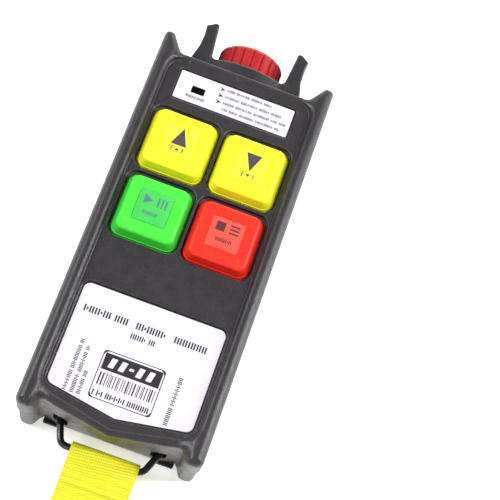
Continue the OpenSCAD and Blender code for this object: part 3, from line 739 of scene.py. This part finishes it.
# a plain square and bars for stop, a plain wedge and bars for start, with a line of marks under each
legend["stop"] = [box2(-4.2, 0.7, -0.9, 4.1), box2(0.8, 3.5, 4.3, 4.1), box2(0.8, 2.1, 4.3, 2.7), box2(0.8, 0.7, 4.3, 1.3)] + glyphs(random.Random(5), -3.0, -3.2, 3.0, 1.5)
legend["start"] = [[(-4.2, 0.6), (-0.8, 2.4), (-4.2, 4.2)], box2(0.8, 0.6, 1.4, 4.2), box2(2.2, 0.6, 2.8, 4.2), box2(3.6, 0.6, 4.2, 4.2)] + glyphs(random.Random(9), -3.2, -3.2, 3.2, 1.5)
for n, (cx, cy) in {"up": (-KX, KY1), "down": (KX, KY1), "start": (-KX, KY2), "stop": (KX, KY2)}.items():
    o = ink(n + "_legend_print", shift(legend[n], cx + 0.1, cy + 0.3), zi - 0.02, zi + 0.03)
    legend[n] = place(o, n + "_button")

# ---------------------------------------------------------------- emergency stop, bail, webbing

R_HEAD = 12.45
prof = [(0.02, 8.0), (3.08, 8.0), (3.08, 1.45), (4.95, 1.45), (5.0, 1.6), (5.0, 4.5), (5.1, 4.6), (10.15, 4.6), (10.3, 4.4), (10.3, 0.3), (10.6, 0.05), (11.7, 0.0), (12.1, 0.12), (12.35, 0.5)]
prof += [(12.45, h) for h in np.linspace(0.9, 8.1, 14)]
prof += [(12.45 - 2.1 * (1 - math.cos(t)), 8.1 + 2.0 * math.sin(t)) for t in np.radians(np.linspace(8, 80, 12))]
prof += [(9.6, 10.35), (8.4, 10.52), (7.2, 10.66), (6.6, 10.7), (6.35, 10.6), (6.1, 10.6), (5.8, 10.75), (4.0, 10.88), (2.0, 10.95), (0.02, 10.97)]


def flutes(a, r, h):
    if r < 9.0 or h < 0.3:
        return r
    k = (a / (2 * math.pi) * 20) % 1.0
    d = abs(k - 0.5) * 2          # 0 at the middle of a flat, 1 at the groove
    groove = max(0.0, (d - 0.62) / 0.38) ** 1.6
    fade = min(1, (h - 0.3) / 0.8) * max(0, min(1, (10.0 - h) / 1.6))
    return r - fade * (0.62 * groove + 0.10 * d * d)


head = lathe("estop_mushroom", prof, 320, (0, 75.1, HEAD_Z), flutes)
bm = bmesh.new()
bm.from_mesh(head.data)
bmesh.ops.remove_doubles(bm, verts=[v for v in bm.verts if (v.co.x ** 2 + (v.co.z - HEAD_Z * MM) ** 2) < (0.05 * MM) ** 2], dist=0.1 * MM)
inner = [q for q in bm.edges if len(q.link_faces) == 1]
bmesh.ops.holes_fill(bm, edges=inner, sides=0)
bmesh.ops.recalc_face_normals(bm, faces=bm.faces)
bm.to_mesh(head.data)
bm.free()
smooth(head.data, 50)
place(head, "estop_mushroom", "estop_head")

BAR_Y, BAR_Z, PIN_Y = -75.8, 12.4, -62.5
OUT_X, PIN_X = 15.0, 20.1


def arc(cx, cy, r, a0, da, n=12):
    return [(cx + r * math.cos(math.radians(a0 + da * i / n)), cy + r * math.sin(math.radians(a0 + da * i / n)), BAR_Z) for i in range(n + 1)]


da = math.degrees(math.atan2(PIN_Y - BAR_Y, PIN_X - OUT_X))
t1, t2 = 3 * math.tan(math.radians(da / 2)), 1.8 * math.tan(math.radians(da / 2))
half = arc(OUT_X - t1, BAR_Y + 3, 3, -90, da) + arc(PIN_X + t2, PIN_Y - 1.8, 1.8, 90 + da, -da) + [(22.2, PIN_Y, BAR_Z), (23.9, PIN_Y, BAR_Z)]
path = [(-p[0], p[1], p[2]) for p in half[::-1]] + half
path = resample(np.array(path), 0.6)
bail = place(tube("bail_rod", path, 1.25, 20), "bail_loop", "bail")

# The webbing: one closed loop, 25 mm wide, round the bail's bar and folded into a hank
T_WEB = 1.15
SX = 1.2


def lay(i, y):
    """Height of layer i at y."""
    g = math.exp(-((y + 115.5) / 4.5) ** 2)
    return 0.64 + 0.36 * g + 1.2 * i * (1.0 - 0.1 * g)


def fold(y, a, b, side):
    """A turn from layer a to layer b. side -1 turns at the far end, +1 at the near end."""
    za, zb = lay(a, y), lay(b, y)
    c, r = (za + zb) / 2, abs(za - zb) / 2
    s = 1 if za > zb else -1
    e = 1.0 if r > 1 else 1.35
    return [(y + side * e * r * math.sin(t), c + s * r * math.cos(t)) for t in np.linspace(0, math.pi, 9)]


def run(i, y0, y1):
    n = max(2, int(abs(y1 - y0) / 6))
    return [(y, lay(i, y)) for y in np.linspace(y0, y1, n + 1)]


R_BAR = 1.25 + 0.12 + T_WEB / 2
top_leg = [(BAR_Y - 1.4, BAR_Z + 1.65), (BAR_Y - 3.0, BAR_Z + 1.55), (BAR_Y - 4.6, BAR_Z + 1.2), (BAR_Y - 5.7, BAR_Z + 1.12), (BAR_Y - 6.8, BAR_Z + 0.74),
           (BAR_Y - 7.9, BAR_Z + 0.62), (BAR_Y - 9.0, BAR_Z + 0.2), (BAR_Y - 10.0, BAR_Z + 0.12), (BAR_Y - 11.6, BAR_Z - 0.75), (BAR_Y - 14.0, BAR_Z - 1.9), (BAR_Y - 17.0, BAR_Z - 2.75)]
chain = []
chain += top_leg + run(7, -96, -186)
chain += fold(-191.5, 7, 4, -1) + run(4, -186, -104)
chain += fold(-99.5, 4, 3, 1) + run(3, -104, -183)
chain += fold(-188.5, 3, 0, -1) + run(0, -183, -107)
chain += fold(-102.5, 0, 1, 1) + run(1, -107, -182)
chain += fold(-186.5, 1, 2, -1) + run(2, -182, -101)
chain += fold(-97.0, 2, 5, 1) + run(5, -101, -184)
chain += fold(-190.0, 5, 6, -1) + run(6, -184, -96)
chain += [(-90, 8.4), (-84.5, 9.3), (BAR_Y - 4, BAR_Z - 2.35)]
chain += [(BAR_Y + R_BAR * math.sin(math.radians(a)), BAR_Z - R_BAR * math.cos(math.radians(a))) for a in np.linspace(-22, 168, 14)]
c2 = np.array([(0, p[0], p[1]) for p in chain + [chain[0]]])
# a smooth closed curve through them
closed = np.vstack([c2[-4:-1], c2, c2[1:4]])
fine = []
for i in range(3, len(closed) - 4):
    p0, p1, p2, p3 = closed[i - 1], closed[i], closed[i + 1], closed[i + 2]
    for t in np.linspace(0, 1, 8, endpoint=False):
        fine.append(0.5 * ((2 * p1) + (-p0 + p2) * t + (2 * p0 - 5 * p1 + 4 * p2 - p3) * t * t + (-p0 + 3 * p1 - 3 * p2 + p3) * t ** 3))
fine.append(fine[0])
line = resample(np.array(fine), 0.45)[:-1]
line = np.roll(line, -int(0.47 * len(line)), 0)      # the seam lies in an inner layer
seg = np.linalg.norm(np.roll(line, -1, 0) - line, axis=1)
T = np.roll(line, -1, 0) - np.roll(line, 1, 0)
T /= np.linalg.norm(T, axis=1)[:, None]
N = np.stack([np.zeros(len(T)), -T[:, 2], T[:, 1]], 1)      # turned a quarter in the y-z plane
across = np.linspace(-1, 1, 15)
prof2 = [(a * 12.1, 1) for a in across] + [(12.42, 0.55), (12.42, -0.55)] + [(a * 12.1, -1) for a in across[::-1]] + [(-12.42, -0.55), (-12.42, 0.55)]
s_at = np.concatenate([[0], np.cumsum(seg)[:-1]])
up = (N[:, 2] * np.sign(N[np.argmax(line[:, 2]), 2]) > 0.5) & (line[:, 2] > 8.5) & (line[:, 1] < BAR_Y - 1.5) & (line[:, 1] > -92)
ridge = np.where(up, 0.26 * np.sin(2 * np.pi * (line[:, 1] - BAR_Y) / 2.3) * sstep((-(line[:, 1] - BAR_Y) - 1.5) / 2) * sstep((line[:, 1] + 91) / 4), 0)
line = line + N * ridge[:, None] * np.sign(N[np.argmax(line[:, 2]), 2])
G = np.zeros((len(line), len(prof2), 3))
UV = np.zeros((len(line), len(prof2), 2))
hank = sstep((-line[:, 1] - 92) / 10)
tied = np.exp(-((line[:, 1] + 115.5) / 4.5) ** 2)
side_shift = hank * (1 - tied) * (0.35 * np.sin(s_at / 41.0) + 0.45 * np.sin(s_at / 97.0 + 1.0))
for j, (u, v) in enumerate(prof2):
    th = T_WEB / 2 * v * (1.0 if abs(u) < 11.6 else 0.92) * (1 - 0.14 * tied)
    G[:, j, 0] = SX + u + side_shift
    G[:, j, 1:] = line[:, 1:] + N[:, 1:] * th[:, None]
    G[:, j, 2] += hank * (1 - tied) * 0.02 * np.sin(u / 4.1 + s_at / 23.0)
    UV[:, j] = np.stack([np.full(len(line), u * MM), s_at * MM], 1)
strap = grid_mesh("strap_webbing", G, close_u=True, close_v=True, uv=UV)
place(strap, "lanyard", "strap")

# The tie: a thin closed band round the hank
th0, th1 = 0.02, lay(7, -115.5) + T_WEB / 2 + 0.04
loop = fillet(box2(SX - 12.5 - 0.45, th0, SX + 12.5 + 0.45, th1 + 0.35), 1.0, 6)
loop_in = fillet(box2(SX - 12.52, th0 + 0.36, SX + 12.52, th1), 0.6, 6)
k = len(loop)
rows = []
for i in range(k):
    a, b = np.array(loop[i]), np.array(loop_in[i])
    rows.append([(a[0], -117.0, a[1]), (a[0], -116.85, a[1]), (a[0], -114.15, a[1]), (a[0], -114.0, a[1]), (b[0], -114.0, b[1]), (b[0], -117.0, b[1])])
tie = place(grid_mesh("strap_tie_band", np.array(rows), close_u=True, close_v=True), "lanyard", "strap_tie")
smooth(tie.data, 45)

# ---------------------------------------------------------------- materials


def lin(c):
    """8-bit sRGB to linear."""
    return tuple((v / 255 / 12.92) if v / 255 <= 0.04045 else ((v / 255 + 0.055) / 1.055) ** 2.4 for v in c) + (1.0,)


class Mat:
    """One node material. Lengths are in mm, in the object's own coordinates or in its UVs."""

    def __init__(self, name, uv=False):
        self.m = bpy.data.materials.new(name)
        self.m.use_nodes = True
        self.t = self.m.node_tree
        self.t.nodes.clear()
        self.out = self.t.nodes.new("ShaderNodeOutputMaterial")
        self.b = self.t.nodes.new("ShaderNodeBsdfPrincipled")
        self.link(self.b.outputs[0], self.out.inputs[0])
        tc = self.t.nodes.new("ShaderNodeTexCoord")
        mp = self.t.nodes.new("ShaderNodeMapping")
        mp.inputs["Scale"].default_value = (1000, 1000, 1000)
        self.link(tc.outputs["UV" if uv else "Object"], mp.inputs["Vector"])
        self.p = mp.outputs[0]
        self.bumps = None

    def link(self, a, b):
        self.t.links.new(a, b)

    def put(self, socket, value):
        if isinstance(value, bpy.types.NodeSocket):
            self.link(value, socket)
        else:
            socket.default_value = value

    def scaled(self, sx, sy, sz):
        n = self.t.nodes.new("ShaderNodeMapping")
        n.inputs["Scale"].default_value = (sx, sy, sz)
        self.link(self.p, n.inputs["Vector"])
        return n.outputs[0]

    def noise(self, scale, detail=2.0, rough=0.5, vec=None):
        n = self.t.nodes.new("ShaderNodeTexNoise")
        n.inputs["Scale"].default_value = scale
        n.inputs["Detail"].default_value = detail
        n.inputs["Roughness"].default_value = rough
        self.link(vec or self.p, n.inputs["Vector"])
        return n.outputs[0]

    def voronoi(self, scale, feature="F1", vec=None, out=0):
        n = self.t.nodes.new("ShaderNodeTexVoronoi")
        n.feature = feature
        n.inputs["Scale"].default_value = scale
        self.link(vec or self.p, n.inputs["Vector"])
        return n.outputs[out]

    def axis(self, i):
        n = self.t.nodes.new("ShaderNodeSeparateXYZ")
        self.link(self.p, n.inputs[0])
        return n.outputs[i]

    def f(self, op, a, b=None, c=None, clamp=False):
        n = self.t.nodes.new("ShaderNodeMath")
        n.operation = op
        n.use_clamp = clamp
        self.put(n.inputs[0], a)
        if b is not None:
            self.put(n.inputs[1], b)
        if c is not None:
            self.put(n.inputs[2], c)
        return n.outputs[0]

    def span(self, v, a, b, lo=0.0, hi=1.0):
        n = self.t.nodes.new("ShaderNodeMapRange")
        n.clamp = True
        self.put(n.inputs[0], v)
        for i, q in enumerate((a, b, lo, hi)):
            n.inputs[1 + i].default_value = q
        return n.outputs[0]

    def mix(self, fac, a, b):
        n = self.t.nodes.new("ShaderNodeMix")
        n.data_type = "RGBA"
        self.put(n.inputs[0], fac)
        self.put(n.inputs[6], a)
        self.put(n.inputs[7], b)
        return n.outputs[2]

    def bump(self, height, dist, strength=1.0):
        """dist in mm."""
        n = self.t.nodes.new("ShaderNodeBump")
        n.inputs["Strength"].default_value = strength
        n.inputs["Distance"].default_value = dist * MM
        self.link(height, n.inputs["Height"])
        if self.bumps:
            self.link(self.bumps, n.inputs["Normal"])
        self.bumps = n.outputs[0]

    def edges(self, lo=0.52, hi=0.6):
        """1 on convex edges, from the mesh's own curvature."""
        n = self.t.nodes.new("ShaderNodeNewGeometry")
        return self.span(n.outputs["Pointiness"], lo, hi)

    def done(self, color, rough, metal=0.0, spec=0.5, coat=0.0, coat_rough=0.1, trans=0.0, sheen=0.0, sss=0.0, ior=1.5):
        i = self.b.inputs
        self.put(i["Base Color"], color)
        self.put(i["Roughness"], rough)
        i["Metallic"].default_value = metal
        i["Specular IOR Level"].default_value = spec
        i["IOR"].default_value = ior
        i["Coat Weight"].default_value = coat
        i["Coat Roughness"].default_value = coat_rough
        i["Transmission Weight"].default_value = trans
        i["Sheen Weight"].default_value = sheen
        i["Subsurface Weight"].default_value = sss
        if sss:
            i["Subsurface Radius"].default_value = (0.002, 0.001, 0.0005)
            i["Subsurface Scale"].default_value = 1.0
        if self.bumps:
            self.link(self.bumps, i["Normal"])
        return self.m


def plastic(name, c, rough=0.5, grain=3.2, depth=0.02, vary=0.06, wear_and_edge_highlight=None, spec=0.5, coat=0.0, sss=0.0, scuff=0.0):
    k = Mat(name)
    c = lin(c)
    dark = tuple(v * (1 - vary) for v in c[:3]) + (1,)
    lite = tuple(min(1, v * (1 + vary)) for v in c[:3]) + (1,)
    col = k.mix(k.noise(0.09, 3.0), dark, lite)
    fine = k.noise(grain, 2.0, 0.6)
    col = k.mix(k.span(fine, 0.35, 0.65, 0.0, 0.35), col, dark)
    # convex edges, broken up by noise, turn lighter: partly rubbed wear, partly a painted highlight where the rounded
    # edges would catch the light
    if wear_and_edge_highlight:
        e = k.f("MULTIPLY", k.edges(), k.span(k.noise(0.5, 3.0), 0.35, 0.7))
        col = k.mix(k.f("MULTIPLY", e, 0.55), col, lin(wear_and_edge_highlight))
    r = k.span(k.noise(0.25, 3.0), 0.3, 0.7, rough - 0.05, rough + 0.06)
    if scuff:
        s = k.noise(1.0, 4.0, 0.7, k.scaled(0.25, 2.4, 1.0))
        s = k.span(s, 0.62, 0.72)
        r = k.f("ADD", r, k.f("MULTIPLY", s, scuff))
    k.bump(fine, depth)
    return k.done(col, r, spec=spec, coat=coat, sss=sss)


def metal(name, c, rough=0.3, along=(0.3, 3.0, 3.0), depth=0.004, vary=0.12):
    k = Mat(name)
    c = lin(c)
    line = k.noise(2.0, 3.0, 0.6, k.scaled(*along))
    col = k.mix(line, tuple(v * (1 - vary) for v in c[:3]) + (1,), c)
    r = k.span(k.noise(0.6, 3.0), 0.3, 0.7, rough - 0.06, rough + 0.09)
    k.bump(line, depth)
    return k.done(col, r, metal=1.0)


def coil_wire(name, c, rough=0.34):
    k = Mat(name)
    c = lin(c)
    s = k.noise(4.0, 4.0, 0.7)
    col = k.mix(s, tuple(v * 0.72 for v in c[:3]) + (1,), c)
    k.bump(s, 0.004)
    return k.done(col, k.span(s, 0.3, 0.7, rough - 0.08, rough + 0.08), metal=1.0)


def legend_film(name, c, edge):
    """Printed film: its tone drifts at random between two colours, with handling scuffs."""
    k = Mat(name)
    col = k.mix(k.noise(0.22, 3.0), lin(c), lin(edge))
    s = k.span(k.noise(0.9, 5.0, 0.65, k.scaled(0.5, 1.6, 1.0)), 0.6, 0.7)
    col = k.mix(k.f("MULTIPLY", s, 0.25), col, lin([v * 0.8 for v in c]))
    k.bump(k.noise(2.6, 2.0), 0.008)
    return k.done(col, k.f("ADD", k.span(k.noise(0.3, 2.0), 0.3, 0.7, 0.22, 0.32), k.f("MULTIPLY", s, 0.2)), coat=0.25, coat_rough=0.15)


def print_ink(name, c, ground, wear=0.25):
    k = Mat(name)
    s = k.span(k.noise(3.5, 4.0, 0.7), 0.5, 0.72)
    col = k.mix(k.f("MULTIPLY", s, wear), lin(c), lin(ground))
    col = k.mix(k.f("MULTIPLY", k.noise(0.4, 2.0), 0.25), col, lin([v * 0.85 for v in c]))
    k.bump(s, 0.004)
    return k.done(col, k.span(s, 0.0, 1.0, 0.38, 0.55))


def webbing():
    """Woven tape: warp ribs along the length, weft crossing them in a twill step, tighter at the selvedges; the thread
    crests carry a painted highlight and the hollows painted shade.
    """
    k = Mat("yellow_webbing", uv=True)
    u, v = k.axis(0), k.axis(1)
    wob = k.f("MULTIPLY", k.f("SUBTRACT", k.noise(0.35, 2.0), 0.5), 0.35)
    u2 = k.f("ADD", u, wob)
    warp = k.f("ABSOLUTE", k.f("SINE", k.f("MULTIPLY", u2, math.pi / 0.9)))
    col_id = k.f("FLOOR", k.f("DIVIDE", u2, 0.9))
    phase = k.f("MULTIPLY", col_id, math.pi * 0.18)
    drift = k.f("MULTIPLY", k.noise(0.6, 3.0, 0.6, k.scaled(0.8, 0.3, 1.0)), 5.0)
    weft01 = k.span(k.f("SINE", k.f("ADD", k.f("ADD", k.f("MULTIPLY", v, 2 * math.pi / 0.95), drift), phase)), -1.0, 1.0)
    h = k.f("ADD", k.f("MULTIPLY", warp, 0.3), k.f("MULTIPLY", weft01, 0.7))
    threads = k.noise(9.0, 3.0, 0.6, k.scaled(1.0, 0.25, 1.0))
    streak = k.noise(1.0, 3.0, 0.6, k.scaled(0.03, 1.1, 1.0))
    edge = k.span(k.f("ABSOLUTE", u), 10.9, 11.6)
    crest_painted_highlight, c_mid, valley_shade_and_thread_tone = lin((246, 243, 48)), lin((234, 230, 22)), lin((200, 189, 10))
    # colour follows the weave's height: crests are painted lighter as a painted highlight, hollows darker as painted
    # shade; the darkest tone also marks random darker threads below
    col = k.mix(k.span(h, 0.1, 0.5), valley_shade_and_thread_tone, c_mid)
    col = k.mix(k.span(h, 0.45, 0.9), col, crest_painted_highlight)
    col = k.mix(k.f("MULTIPLY", k.span(threads, 0.35, 0.65), 0.16), col, valley_shade_and_thread_tone)
    col = k.mix(k.f("MULTIPLY", k.span(streak, 0.45, 0.7), 0.4), col, lin((200, 192, 16)))
    col = k.mix(k.f("MULTIPLY", edge, 0.3), col, lin((205, 198, 20)))
    k.bump(h, 0.12)
    k.bump(threads, 0.03)
    return k.done(col, k.span(h, 0.0, 1.0, 0.62, 0.42), spec=0.45, sheen=0.15, sss=0.0)


def board_material(name):
    k = Mat(name)
    green, track, mask = lin((24, 92, 52)), lin((46, 128, 78)), lin((18, 70, 40))
    cells = k.voronoi(0.22, "DISTANCE_TO_EDGE", k.scaled(1.0, 1.0, 0.2))
    t = k.span(cells, 0.02, 0.05)
    col = k.mix(t, track, green)
    pads = k.span(k.voronoi(0.5, "F1"), 0.10, 0.13)
    col = k.mix(pads, lin((196, 170, 110)), col)
    col = k.mix(k.f("MULTIPLY", k.noise(0.2, 2.0), 0.4), col, mask)
    k.bump(t, 0.03)
    return k.done(col, k.span(k.noise(0.5, 2.0), 0.3, 0.7, 0.25, 0.4), coat=0.3)


def cell_jacket(name):
    """A printed cell jacket: dark blue body, one bright band towards the button end."""
    k = Mat(name)
    y = k.axis(1)
    wave = k.f("ADD", y, k.f("MULTIPLY", k.noise(0.3, 2.0), 0.25))
    band = k.f("GREATER_THAN", k.f("SINE", k.f("MULTIPLY", wave, 2 * math.pi / 50.0)), 0.72)
    col = k.mix(band, lin((26, 52, 104)), lin((196, 150, 60)))
    col = k.mix(k.f("MULTIPLY", k.noise(1.2, 4.0), 0.2), col, lin((14, 24, 50)))
    k.bump(k.noise(0.8, 3.0), 0.02)
    return k.done(col, k.span(k.noise(0.6, 3.0), 0.3, 0.7, 0.25, 0.38), coat=0.4)


CHAR = (41, 38, 42)
MATS = {
    "housing_plastic": plastic("charcoal_abs", CHAR, 0.36, 2.3, 0.11, 0.12, wear_and_edge_highlight=(92, 89, 93), scuff=0.08),
    "guard_plastic": plastic("charcoal_guard", (36, 33, 38), 0.36, 2.3, 0.11, 0.12, wear_and_edge_highlight=(88, 85, 90), scuff=0.08),
    "key_yellow": plastic("yellow_key", (240, 240, 38), 0.44, 4.0, 0.008, 0.03, wear_and_edge_highlight=(252, 250, 120), scuff=0.1, spec=0.32),
    "key_green": plastic("green_key", (66, 212, 58), 0.44, 4.0, 0.008, 0.03, wear_and_edge_highlight=(150, 240, 130), scuff=0.1, spec=0.32),
    "key_red": plastic("red_key", (240, 42, 26), 0.44, 4.0, 0.008, 0.03, wear_and_edge_highlight=(255, 120, 100), scuff=0.1, spec=0.32),
    "legend_yellow": legend_film("yellow_legend", (238, 236, 62), (230, 226, 50)),
    "legend_green": legend_film("green_legend", (74, 196, 88), (62, 182, 78)),
    "legend_red": legend_film("red_legend", (226, 88, 74), (214, 74, 62)),
    "mushroom_red": plastic("red_mushroom", (168, 30, 32), 0.3, 3.0, 0.012, 0.07, wear_and_edge_highlight=(214, 92, 88), coat=0.12, scuff=0.14),
    "label_film": legend_film("pale_label", (218, 213, 222), (208, 203, 213)),
    "smoked_window": plastic("smoked_window", (8, 7, 9), 0.25, 2.0, 0.004, 0.2, spec=0.12),
    "led_lens": plastic("led_lens", (220, 226, 214), 0.2, 2.0, 0.006, 0.05, coat=0.4),
    "steel": metal("plain_steel", (196, 197, 200), 0.3),
    "spring_steel": coil_wire("spring_steel", (182, 184, 190)),
    "nickel": metal("nickel_plate", (214, 210, 200), 0.2),
    "brass": metal("turned_brass", (206, 172, 104), 0.28, (3.0, 3.0, 0.4)),
    "copper_wire": coil_wire("enamelled_copper", (200, 118, 70), 0.28),
    "board": board_material("green_board"),
    "component_black": plastic("component_body", (34, 34, 37), 0.5, 2.0, 0.02, 0.12),
    "inner_plastic": plastic("inner_moulding", (52, 52, 54), 0.45, 1.6, 0.02, 0.08),
    "acetal": plastic("natural_acetal", (226, 224, 214), 0.38, 1.6, 0.012, 0.04, sss=0.1),
    "seal_rubber": plastic("seal_rubber", (34, 34, 35), 0.7, 1.2, 0.03, 0.15),
    "mat_rubber": plastic("silicone_mat", (140, 140, 144), 0.62, 1.2, 0.03, 0.06),
    "cell_wrap": cell_jacket("cell_jacket"),
    "lead_red": plastic("red_lead", (190, 26, 24), 0.4, 1.4, 0.02, 0.1),
    "bail_black": plastic("black_rod", (20, 20, 24), 0.28, 3.0, 0.015, 0.2, wear_and_edge_highlight=(130, 130, 134), coat=0.2),
    "webbing": webbing(),
    "tie_white": plastic("white_tie", (232, 230, 224), 0.42, 2.2, 0.02, 0.06),
}
GREY_INK = print_ink("grey_print", (52, 48, 56), (140, 136, 144), 0.15)
DARK_INK = print_ink("dark_print", (36, 32, 38), (120, 115, 123), 0.12)
PALE_INK = print_ink("pale_print", (214, 210, 216), (90, 85, 92), 0.25)
KEY_INK = print_ink("legend_print_dark", (68, 64, 72), (120, 118, 100), 0.15)
TEAL_INK = print_ink("legend_print_teal", (76, 120, 122), (96, 190, 110), 0.25)
RED_INK = print_ink("legend_print_red", (84, 40, 46), (190, 80, 70), 0.2)

for name, o in frame["nodes"].items():
    for s in o.material_slots:
        key = s.material.name.split(".")[0] if s.material else ""
        s.material = MATS[key if key in MATS else "inner_plastic"]

LOOK = {
    "front_shell_moulded": "housing_plastic", "rear_shell_moulded": "housing_plastic", "estop_guard_moulded": "guard_plastic",
    "battery_door_moulded": "housing_plastic", "up_key_moulded": "key_yellow", "down_key_moulded": "key_yellow",
    "start_key_moulded": "key_green", "stop_key_moulded": "key_red", "rating_label_film": "label_film", "status_label_film": "label_film",
    "led_window_pane": "smoked_window", "up_legend_plate": "legend_yellow", "down_legend_plate": "legend_yellow",
    "start_legend_plate": "legend_green", "stop_legend_plate": "legend_red", "estop_mushroom": "mushroom_red", "bail_rod": "bail_black",
    "strap_webbing": "webbing", "strap_tie_band": "tie_white",
}
INKS = {
    "rating_label_print": DARK_INK, "rating_label_small_print": GREY_INK, "rating_label_band_marks": PALE_INK, "status_label_print": GREY_INK, "status_label_arrows": DARK_INK,
    "up_legend_print": KEY_INK, "down_legend_print": KEY_INK, "start_legend_print": TEAL_INK, "stop_legend_print": RED_INK,
}
for o in scene.objects:
    if o.name in LOOK:
        o.data.materials.clear()
        o.data.materials.append(MATS[LOOK[o.name]])
    elif o.name in INKS:
        o.data.materials.clear()
        o.data.materials.append(INKS[o.name])

# Each key spring and the mushroom's spring get a mesh of their own
for n in ("up", "down", "start", "stop"):
    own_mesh(frame["nodes"][n + "_spring"])
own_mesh(frame["nodes"]["estop_spring"])

# ---------------------------------------------------------------- floor and light

bm = bmesh.new()
prof_floor = [(-1.6, 0.0), (0.9, 0.0), (1.15, 0.02), (1.35, 0.1), (1.47, 0.28), (1.5, 0.6), (1.5, 1.8)]
for i in range(len(prof_floor)):
    for s in (-2.2, 2.2):
        bm.verts.new((s, prof_floor[i][0], prof_floor[i][1] - 0.0004))
bm.verts.ensure_lookup_table()
for i in range(len(prof_floor) - 1):
    bm.faces.new((bm.verts[2 * i], bm.verts[2 * i + 1], bm.verts[2 * i + 3], bm.verts[2 * i + 2]))
me = bpy.data.meshes.new("floor")
bm.to_mesh(me)
bm.free()
floor = new_object("floor", me)
k = Mat("pale_floor")
floor_mat = k.done(k.mix(k.noise(0.01, 2.0), lin((243, 243, 243)), lin((247, 247, 247))), k.span(k.noise(0.05, 2.0), 0.3, 0.7, 0.6, 0.7), spec=0.2)
k.b.inputs["Emission Color"].default_value = (1, 1, 1, 1)
k.b.inputs["Emission Strength"].default_value = 0.44
floor.data.materials.append(floor_mat)
floor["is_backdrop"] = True


def area(name, at, to, size, power, color=(1, 1, 1)):
    d = bpy.data.lights.new(name, "AREA")
    d.shape = "RECTANGLE"
    d.size, d.size_y = size
    d.energy = power
    d.color = color
    o = bpy.data.objects.new(name, d)
    o.location = Vector(at)
    o.rotation_euler = (Vector(to) - Vector(at)).to_track_quat("-Z", "Y").to_euler()
    scene.collection.objects.link(o)
    return o


area("key_soft", (-0.85, -0.05, 0.85), (0, 0, 0), (0.5, 0.6), 12.5)
area("right_strip", (0.7, 0.15, 0.5), (0, 0, 0.02), (0.1, 0.9), 9)
area("top_edge", (0.25, 1.0, 0.35), (0, 0.03, 0.02), (0.9, 0.2), 2.5)
area("front_fill", (-0.1, -0.8, 0.7), (0, -0.1, 0.02), (0.5, 0.3), 2.2)
world = bpy.data.worlds.new("studio")
scene.world = world
world.use_nodes = True
world.node_tree.nodes["Background"].inputs[0].default_value = (1, 1, 1, 1)
world.node_tree.nodes["Background"].inputs[1].default_value = 0.22
scene.view_settings.view_transform = "Standard"
scene.view_settings.look = "None"
scene.view_settings.exposure = 0.0

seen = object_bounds()
flat = lambda b: [list(map(float, p)) for p in b] if hasattr(b[0], "__len__") else [float(p) for p in b]
{"cad_box": flat(cad_box), "visual_box": flat(seen)}
